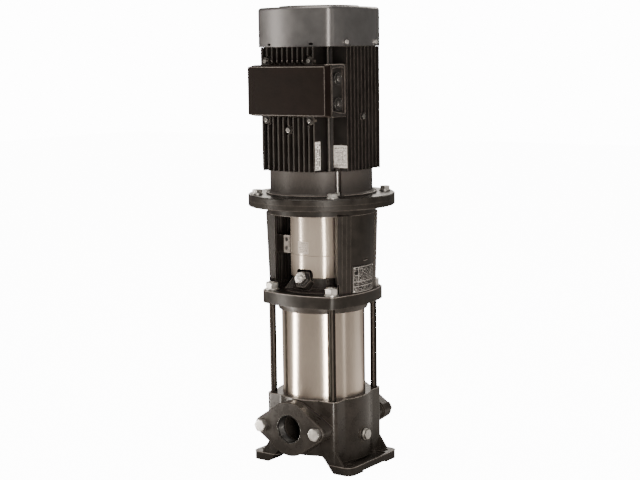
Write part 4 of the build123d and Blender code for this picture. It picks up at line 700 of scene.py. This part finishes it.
prints = {
    "stool": {"margin": 0.0018, "line": 0.0004, "rules": (0.24, 0.42), "columns": (0.2, 0.82),
              "columnSpan": (0.42, 0.96), "rowPitch": 0.0031, "rowShare": 0.24, "dash": 0.0012,
              "dashLevel": 0.5, "dashInk": 0.75, "step": 0.0005},
    "motor": {"margin": 0.0012, "line": 0.0003, "rules": (0.12, 0.24, 0.5, 0.76, 0.88),
              "columns": (0.33, 0.66), "columnSpan": (0.24, 0.76), "rowPitch": 0.0026, "rowShare": 0.26,
              "dash": 0.0011, "dashLevel": 0.4, "dashInk": 0.9, "step": 0.0004},
    "strip": {"margin": 0.0009, "line": 0.00025, "rules": (), "columns": (), "columnSpan": (0, 1),
              "rowPitch": 0.0058, "rowShare": 0.32, "dash": 0.0019, "dashLevel": 0.42, "dashInk": 0.95,
              "step": 0.0004},
    "guard": {"margin": 0.0016, "line": 0.0004, "rules": (0.5,), "columns": (), "columnSpan": (0, 1),
              "rowPitch": 0.0032, "rowShare": 0.28, "dash": 0.0012, "dashLevel": 0.35, "dashInk": 0.6,
              "step": 0.0005},
}
inks = {
    "stool": addInk("platePrint", (0.006, 0.0055, 0.005), (0.33, 0.315, 0.3), (0.4, 0.5), 0.0, 0.15),
    "motor": addInk("motorPlatePrint", (0.6, 0.58, 0.55), (0.09, 0.085, 0.08), (0.35, 0.45), 0.0),
    "strip": addInk("stripPrint", (0.75, 0.73, 0.7), (0.05, 0.05, 0.05), (0.45, 0.55), 0.0),
    "guard": addInk("etchedPatch", (0.37, 0.33, 0.292), (0.06, 0.053, 0.048), (0.4, 0.5), 0.5),
}


# a print lies this far off its plate
lift = 0.0002
sheetThickness = 0.0002


def sheetShares(width, height, step):
    # shares from 0 to 1 along the columns and the rows of a sheet, about one step apart
    return np.linspace(0, 1, int(width / step))[None, :], np.linspace(0, 1, int(height / step))[:, None]


def addSheet(name, points, width, height, kind, flat=False, turned=False):
    # a printed sheet with a thin wall; a turned print has its rows along the second edge
    rows, columns = points.shape[:2]
    piece = addPiece(name, points, gridFaces(rows, columns), inks[kind], flat=flat)
    across, up = np.meshgrid(np.linspace(0, 1, columns) * width, np.linspace(0, 1, rows) * height)
    if turned:
        across, up, width, height = up, across, height, width
    addAttribute(piece, "ink", ruledPrint(across, up, width, height, prints[kind]))
    thicken(piece, sheetThickness)
    return piece


def addCurvedPrint(name, lowRadius, highRadius, startAngle, endAngle, bottom, top, kind):
    # a sheet bent round the pump axis: radius grows evenly with height, angle runs from start to end
    width, height = highRadius * (endAngle - startAngle), top - bottom
    across, up = sheetShares(width, height, prints[kind]["step"])
    angle = startAngle + (endAngle - startAngle) * across
    radius = lowRadius + (highRadius - lowRadius) * up
    return addSheet(name, aroundAxis(radius, angle, bottom + height * up), width, height, kind)


def addFlatPrint(name, corner, alongEdge, upEdge, kind, turned=False):
    # a flat sheet: point = corner + across * alongEdge + up * upEdge
    corner, alongEdge, upEdge = (np.array(v, float) for v in (corner, alongEdge, upEdge))
    width, height = np.linalg.norm(alongEdge), np.linalg.norm(upEdge)
    across, up = sheetShares(width, height, prints[kind]["step"])
    points = corner + alongEdge * across[..., None] + upEdge * up[..., None]
    return addSheet(name, points, width, height, kind, True, turned)


plateLow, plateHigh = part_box("stool_nameplate")
platePoints = nodePoints("stool_nameplate")
plateAngles = np.arctan2(platePoints[:, 1], platePoints[:, 0])
plateReach = [nodeRadius("stool_nameplate", atTop) + lift for atTop in (False, True)]
addCurvedPrint("stool_plate_print", *plateReach, plateAngles.min(), plateAngles.max(),
               plateLow.z, plateHigh.z, "stool")
motorLow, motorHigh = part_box("motor_nameplate")
addFlatPrint("motor_plate_print", (motorLow.x, motorLow.y - lift, motorLow.z),
             (motorHigh.x - motorLow.x, 0, 0), (0, 0, motorHigh.z - motorLow.z), "motor")

# a label on the side of one fin, its rows turned upright
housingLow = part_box("stator_housing")[0]
stripLabel = {"finSide": 0.064, "depth": 0.02, "inset": 0.0012, "bottom": 0.004, "height": 0.056}
stripCorner = (stripLabel["finSide"] + lift, housingLow.y + stripLabel["inset"],
               housingLow.z + stripLabel["bottom"])
addFlatPrint("fin_strip_label", stripCorner, (0, stripLabel["depth"] - 2 * stripLabel["inset"], 0),
             (0, 0, stripLabel["height"]), "strip", turned=True)

# an etched patch on the front guard
guardPatch = {"start": math.radians(-103.6), "end": math.radians(-80), "bottom": 0.440, "top": 0.4645}
guardRadius = nodeRadius("coupling_guard_front", True) + lift / 2
addCurvedPrint("guard_etched_patch", guardRadius, guardRadius, guardPatch["start"], guardPatch["end"],
               guardPatch["bottom"], guardPatch["top"], "guard")

domeLook = {"rings": 7, "around": 16, "height": 0.7}


def addDomes(name, places, normals, radius, material):
    # half balls: ring radius = r cos(t), height = share * r sin(t), each turned to its own normal, flat below
    rings, around, share = domeLook["rings"], domeLook["around"], domeLook["height"]
    t = np.linspace(0, np.pi / 2, rings, endpoint=False)[:, None]
    a = np.linspace(0, 2 * np.pi, around, endpoint=False)[None, :]
    ring = aroundAxis(np.cos(t), a, share * np.sin(t)).reshape(-1, 3)
    ball = np.vstack([ring, [[0, 0, share]]]) * radius
    last = (rings - 1) * around
    faces = gridFaces(rings, around, False, True).tolist()
    faces += [[last + k, last + (k + 1) % around, len(ball) - 1] for k in range(around)]
    faces.append(list(range(around - 1, -1, -1)))
    allPoints, allFaces = [], []
    for number, (place, normal) in enumerate(zip(places, normals)):
        normal = np.array(normal, float) / np.linalg.norm(normal)
        side = np.cross(normal, (0, 0, 1))
        side /= np.linalg.norm(side)
        turned = np.stack([side, np.cross(normal, side), normal])
        allPoints.append(ball @ turned + np.array(place))
        allFaces += [[corner + number * len(ball) for corner in face] for face in faces]
    return addPiece(name, np.concatenate(allPoints), allFaces, material)


stoolPin = {"inset": 0.0035, "turn": 0.035, "radius": 0.0014}
pinHeights = (plateLow.z + stoolPin["inset"], plateHigh.z - stoolPin["inset"])
pinAngles = (plateAngles.min() + stoolPin["turn"], plateAngles.max() - stoolPin["turn"])
stoolPins = [aroundAxis(reach, angle, z) for reach, z in zip(plateReach, pinHeights) for angle in pinAngles]
stoolNormals = [aroundAxis(1, angle, 0) for angle in pinAngles] * 2
addDomes("stool_plate_pins", stoolPins, stoolNormals, stoolPin["radius"], finishes["plating"])
motorPin = {"inset": 0.002, "radius": 0.0009}
motorPins = [(x, motorLow.y - lift, z)
             for x in (motorLow.x + motorPin["inset"], motorHigh.x - motorPin["inset"])
             for z in (motorLow.z + motorPin["inset"], motorHigh.z - motorPin["inset"])]
addDomes("motor_plate_pins", motorPins, [(0, -1, 0)] * 4, motorPin["radius"], finishes["plating"])
print("plates and labels made")

# round beads and rails carried along a path
tipShare = 0.05


def addTubes(name, paths, radius, material, facing, closed=True, around=12):
    # point = path + radius * (cos t * outward + sin t * facing), outward = path direction turned a quarter
    # about the facing axis; open ends taper to a point
    t = np.linspace(0, 2 * np.pi, around, endpoint=False)[None, :, None]
    facing = np.array(facing, float)
    allPoints, allFaces, start = [], [], 0
    for path in paths:
        ahead = np.roll(path, -1, 0) - np.roll(path, 1, 0) if closed else np.gradient(path, axis=0)
        outward = np.cross(ahead, facing)
        outward /= np.linalg.norm(outward, axis=1)[:, None]
        width = np.full(len(path), radius)
        if not closed:
            width[[0, -1]] = radius * tipShare
        width = width[:, None, None]
        points = path[:, None, :] + width * (np.cos(t) * outward[:, None, :] + np.sin(t) * facing)
        faces = gridFaces(len(path), around, closed, True)[:, ::-1] + start
        allPoints.append(points.reshape(-1, 3))
        allFaces += faces.tolist()
        end = start + len(path) * around
        if not closed:
            allFaces.append(list(range(start, start + around)))
            allFaces.append(list(range(end - 1, end - around - 1, -1)))
        start = end
    return addPiece(name, np.concatenate(allPoints), allFaces, material)


def roundCorners(corners, radius, perCorner=7):
    # each corner becomes a curve P = (1-s)^2 A + 2 s (1-s) C + s^2 B, A and B one radius before and after it
    corners = np.array(corners, float)
    back = np.roll(corners, 1, 0) - corners
    ahead = np.roll(corners, -1, 0) - corners
    a = corners + radius * back / np.linalg.norm(back, axis=1)[:, None]
    b = corners + radius * ahead / np.linalg.norm(ahead, axis=1)[:, None]
    s = np.linspace(0, 1, perCorner)[None, :, None]
    curve = (1 - s) ** 2 * a[:, None] + 2 * s * (1 - s) * corners[:, None] + s ** 2 * b[:, None]
    return curve.reshape(-1, 3)


def ringPath(centre, first, second, radius, count=48):
    # centre + radius * (cos a * first + sin a * second)
    a = np.linspace(0, 2 * np.pi, count, endpoint=False)[:, None]
    first, second = np.array(first, float), np.array(second, float)
    return np.array(centre) + radius * (np.cos(a) * first + np.sin(a) * second)


def fillPath(path, step):
    # the same closed path with even gaps of about one step, in straight lines between its old points
    gaps = np.linalg.norm(np.roll(path, -1, 0) - path, axis=1)
    along = np.concatenate([[0], np.cumsum(gaps)])
    count = int(along[-1] / step)
    places = np.linspace(0, along[-1], count, endpoint=False)
    looped = np.vstack([path, path[:1]])
    return np.stack([np.interp(places, along, looped[:, k]) for k in range(3)], -1)


# terminal box: raised frame and rings on the entry side, a lip round the lid's face, two glossy caps; the
# frame, the lip and the rail along the top are pale beads, painted highlights on the edges
plugLow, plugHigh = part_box("cable_entry_plugs")
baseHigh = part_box("terminal_box_base")[1]
lidLow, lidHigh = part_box("terminal_box_lid")
entryFrame = {
    "near": -0.1062, "far": -0.0628, "nearLow": 0.0115, "nearHigh": 0.0935, "farLow": 0.006,
    "farHigh": 0.0995, "corner": 0.003, "bead": 0.0007, "ringRadius": 0.0118, "ringBead": 0.0009,
    "ringSunk": 0.0012, "capRadius": 0.0062, "capSunk": 0.0008,
}
plugRadius = (plugHigh.y - plugLow.y) / 2
entryY = (plugLow.y + plugHigh.y) / 2
entryHeights = (plugLow.z + plugRadius, plugHigh.z - plugRadius)
boxSide, boxFoot = baseHigh.x, lidLow.z
frameEnds = (("near", "nearLow"), ("far", "farLow"), ("far", "farHigh"), ("near", "nearHigh"))
frameCorners = [(boxSide, entryFrame[y], boxFoot + entryFrame[z]) for y, z in frameEnds]
addTubes("entry_frame_bead", [roundCorners(frameCorners, entryFrame["corner"])], entryFrame["bead"],
         finishes["dimRimHighlight"], (1, 0, 0))
entryRings = [ringPath((plugHigh.x - entryFrame["ringSunk"], entryY, z), (0, 1, 0), (0, 0, 1),
                       entryFrame["ringRadius"]) for z in entryHeights]
addTubes("entry_rings", entryRings, entryFrame["ringBead"], finishes["glossPlastic"], (1, 0, 0))
entryCaps = [(plugHigh.x - entryFrame["capSunk"], entryY, z) for z in entryHeights]
addDomes("entry_caps", entryCaps, [(1, 0, 0)] * 2, entryFrame["capRadius"], finishes["glossPlastic"])

lidRim = {"front": 0.003, "inset": 0.0042, "side": 0.0003, "bead": 0.0007, "corner": 0.003, "bulge": 0.003,
          "step": 0.004}


def lidRimPath(settings):
    # the outline of the lid's face, pushed out by bulge * (1 - u * u) with u from -1 to 1 across the box
    low, high = lidLow.z + settings["inset"], lidHigh.z - settings["inset"]
    left, right = lidLow.x + settings["side"], lidHigh.x - settings["side"]
    corners = [(left, 0, low), (right, 0, low), (right, 0, high), (left, 0, high)]
    path = fillPath(roundCorners(corners, settings["corner"]), settings["step"])
    u = (path[:, 0] - (left + right) / 2) / ((right - left) / 2)
    path[:, 1] = lidLow.y + settings["front"] - settings["bulge"] * (1 - u * u)
    return path


addTubes("lid_face_lip", [lidRimPath(lidRim)], lidRim["bead"], finishes["dimRimHighlight"], (0, 1, 0))
topRail = {"sunk": 0.0004, "start": 0.004, "bead": 0.0008, "count": 12}
railPath = np.array([[boxSide - topRail["sunk"], y, lidHigh.z - topRail["sunk"]]
                     for y in np.linspace(lidLow.y + topRail["start"], baseHigh.y, topRail["count"])])
addTubes("box_top_rail", [railPath], topRail["bead"], finishes["rimHighlight"], (0, 0, 1), closed=False)
print("terminal box details made")

# bead at the foot of the motor's neck, broken where the four grooves run; pale, a painted highlight
neckFoot = {"radius": 0.1127, "height": 0.0015, "bead": 0.0009, "groove": 35.8, "gap": 4.6, "perArc": 60,
            "flangeEdge": 0.147, "chamfer": 0.0015}
shieldPoints = nodePoints("drive_end_shield")
onFlangeEdge = np.hypot(shieldPoints[:, 0], shieldPoints[:, 1]) > neckFoot["flangeEdge"]
flangeTop = shieldPoints[onFlangeEdge][:, 2].max() + neckFoot["chamfer"]


def neckArcs(settings):
    # arcs of the circle radius * (cos a, sin a) between one groove and the next
    groove, gap = settings["groove"], settings["gap"]
    breaks = [groove, 180 - groove, 180 + groove, 360 - groove]
    arcs = []
    for low, high in zip(breaks, breaks[1:] + [breaks[0] + 360]):
        a = np.radians(np.linspace(low + gap, high - gap, settings["perArc"]))
        arcs.append(aroundAxis(settings["radius"], a, flangeTop + settings["height"]))
    return arcs


addTubes("neck_foot_bead", neckArcs(neckFoot), neckFoot["bead"], finishes["rimHighlight"], (0, 0, 1),
         closed=False)

# turned lips at the mouths of the ports
mouth = {"radius": 0.0292, "bead": 0.0012, "sunk": 0.0004, "count": 72}
for name, faceY, sign in (("inlet_mouth", inletLow.y, 1), ("outlet_mouth", outletHigh.y, -1)):
    mouthY = faceY + sign * (mouth["bead"] - mouth["sunk"])
    mouthRing = ringPath((0, mouthY, portZ), (1, 0, 0), (0, 0, 1), mouth["radius"], mouth["count"])
    addTubes(name, [mouthRing], mouth["bead"], finishes["wetPaint"], (0, 1, 0))

# beads round the top of the base and the foot of the stool, pale: painted highlights on the rims
baseRim = {"half": 0.0863, "corner": 0.011, "bulge": 0.0985, "inset": 0.0006, "bead": 0.0009, "count": 360}


def roundSquareRadius(angle, half, corner):
    # distance from the middle to a square with round corners, half / max(|cos|, |sin|) on the flats and
    # p.d + sqrt((p.d)^2 - |p|^2 + corner^2) where the ray meets the corner circle
    c, d = np.abs(np.cos(angle)), np.abs(np.sin(angle))
    flat = half / np.maximum(c, d)
    centre = half - corner
    reach = centre * (c + d)
    bent = reach + np.sqrt(np.maximum(reach ** 2 - 2 * centre ** 2 + corner ** 2, 0))
    return np.where(flat * np.minimum(c, d) > centre, bent, flat)


def baseRimPath(settings):
    # the base's top outline: the further of the round square and the bulge circle
    angle = np.linspace(0, 2 * np.pi, settings["count"], endpoint=False)
    square = roundSquareRadius(angle, settings["half"], settings["corner"])
    radius = np.maximum(square, settings["bulge"]) - settings["inset"]
    return aroundAxis(radius, angle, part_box("pump_base")[1].z - settings["inset"])


addTubes("base_rim_bead", [baseRimPath(baseRim)], baseRim["bead"], finishes["rimHighlight"], (0, 0, 1))
stoolRim = {"corner": 0.0893, "middle": 0.107, "fillet": 0.024, "foot": 0.025, "inset": 0.0009,
            "sink": 0.0006, "bead": 0.0009, "count": 360}


def bowedSquareRadius(angle, settings):
    # a square with bowed sides: each side is an arc of radius R = (c^2 + s^2) / 2s, s = middle - c, about a
    # point C behind the axis, so the distance is u.C + sqrt((u.C)^2 - |C|^2 + R^2); past the tangent point
    # the same is done with the small circle of the corner
    corner, fillet = settings["corner"], settings["fillet"]
    sag = settings["middle"] - corner
    arc = (corner ** 2 + sag ** 2) / (2 * sag)
    back = arc - settings["middle"]
    turned = np.abs((angle + np.pi / 4) % (np.pi / 2) - np.pi / 4)
    onSide = -back * np.cos(turned) + np.sqrt(arc ** 2 - (back * np.sin(turned)) ** 2)
    reach = (-math.sqrt(2) * back + math.sqrt(4 * (arc - fillet) ** 2 - 2 * back ** 2)) / 2
    centre = np.array([reach, reach]) / math.sqrt(2)
    touch = np.array([-back, 0]) + arc * (centre - [-back, 0]) / (arc - fillet)
    off = np.pi / 4 - turned
    onCorner = reach * np.cos(off) + np.sqrt(np.maximum(fillet ** 2 - (reach * np.sin(off)) ** 2, 0))
    return np.where(turned > math.atan2(touch[1], touch[0]), onCorner, onSide)


stoolLow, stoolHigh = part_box("motor_stool")
stoolFootTop = stoolLow.z + stoolRim["foot"]
stoolAngle = np.linspace(0, 2 * np.pi, stoolRim["count"], endpoint=False)
stoolReach = bowedSquareRadius(stoolAngle, stoolRim) - stoolRim["inset"]
stoolPath = aroundAxis(stoolReach, stoolAngle, stoolFootTop - stoolRim["sink"])
addTubes("stool_rim_bead", [stoolPath], stoolRim["bead"], finishes["rimHighlight"], (0, 0, 1))

# stool wall: a bead where it meets the top ring, and a lip under the drip slot, both pale as painted
# highlights
stoolWall = {
    "lowRadius": 0.1046, "highRadius": 0.11, "ring": 0.0266, "ringBead": 0.0007, "ringSunk": 0.0002,
    "ringCount": 180, "slotAbove": 0.0101, "slotHalf": 0.0075, "slotCount": 16, "lipBead": 0.0006,
}
wallHigh = stoolHigh.z - stoolWall["ring"]
ringReach = stoolWall["highRadius"] - stoolWall["ringSunk"]
stoolRing = ringPath((0, 0, wallHigh), (1, 0, 0), (0, 1, 0), ringReach, stoolWall["ringCount"])
addTubes("stool_ring_bead", [stoolRing], stoolWall["ringBead"], finishes["dimRimHighlight"], (0, 0, 1))
slotZ = plateHigh.z + stoolWall["slotAbove"]
slotRadius = np.interp(slotZ, [stoolFootTop, wallHigh], [stoolWall["lowRadius"], stoolWall["highRadius"]])
slotTurn = math.asin(stoolWall["slotHalf"] / slotRadius)
slotPath = aroundAxis(slotRadius, np.linspace(-1, 1, stoolWall["slotCount"]) * slotTurn, slotZ)
addTubes("drip_slot_lip", [slotPath], stoolWall["lipBead"], finishes["rimHighlight"], (0, 0, 1), closed=False)
print("port mouths and stool beads made")

# beads round the tops of the two foot bars, pale: painted highlights on the edges
footRim = {"inner": 0.06, "outer": 0.125, "reach": 0.088, "top": 0.017, "corner": 0.017, "inset": 0.0006,
           "bead": 0.0009, "step": 0.003}


def footRimPath(side, settings):
    # the outline of one foot bar's top, a rectangle with round corners
    inner, outer = side * settings["inner"], side * (settings["outer"] - settings["inset"])
    reach = settings["reach"] - settings["inset"]
    top = settings["top"] - settings["inset"]
    corners = [(inner, -reach, top), (outer, -reach, top), (outer, reach, top), (inner, reach, top)]
    return fillPath(roundCorners(corners[::side], settings["corner"]), settings["step"])


addTubes("foot_rim_beads", [footRimPath(side, footRim) for side in (1, -1)], footRim["bead"],
         finishes["rimHighlight"], (0, 0, 1))

# painted highlights on the ends of the upper front fins: small domes of pale metal
finEnds = {"height": 0.8275, "radius": 0.0015, "pitch": 0.0125, "count": 9, "reach": 0.1093,
           "normal": (0, -1, 0.3)}
finMiddle = (finEnds["count"] - 1) / 2
finPlaces = [((k - finMiddle) * finEnds["pitch"], -finEnds["reach"], finEnds["height"])
             for k in range(finEnds["count"])]
addDomes("fin_end_glints", finPlaces, [finEnds["normal"]] * finEnds["count"], finEnds["radius"],
         finishes["finEndHighlight"])
print("foot bar beads and fin ends made")
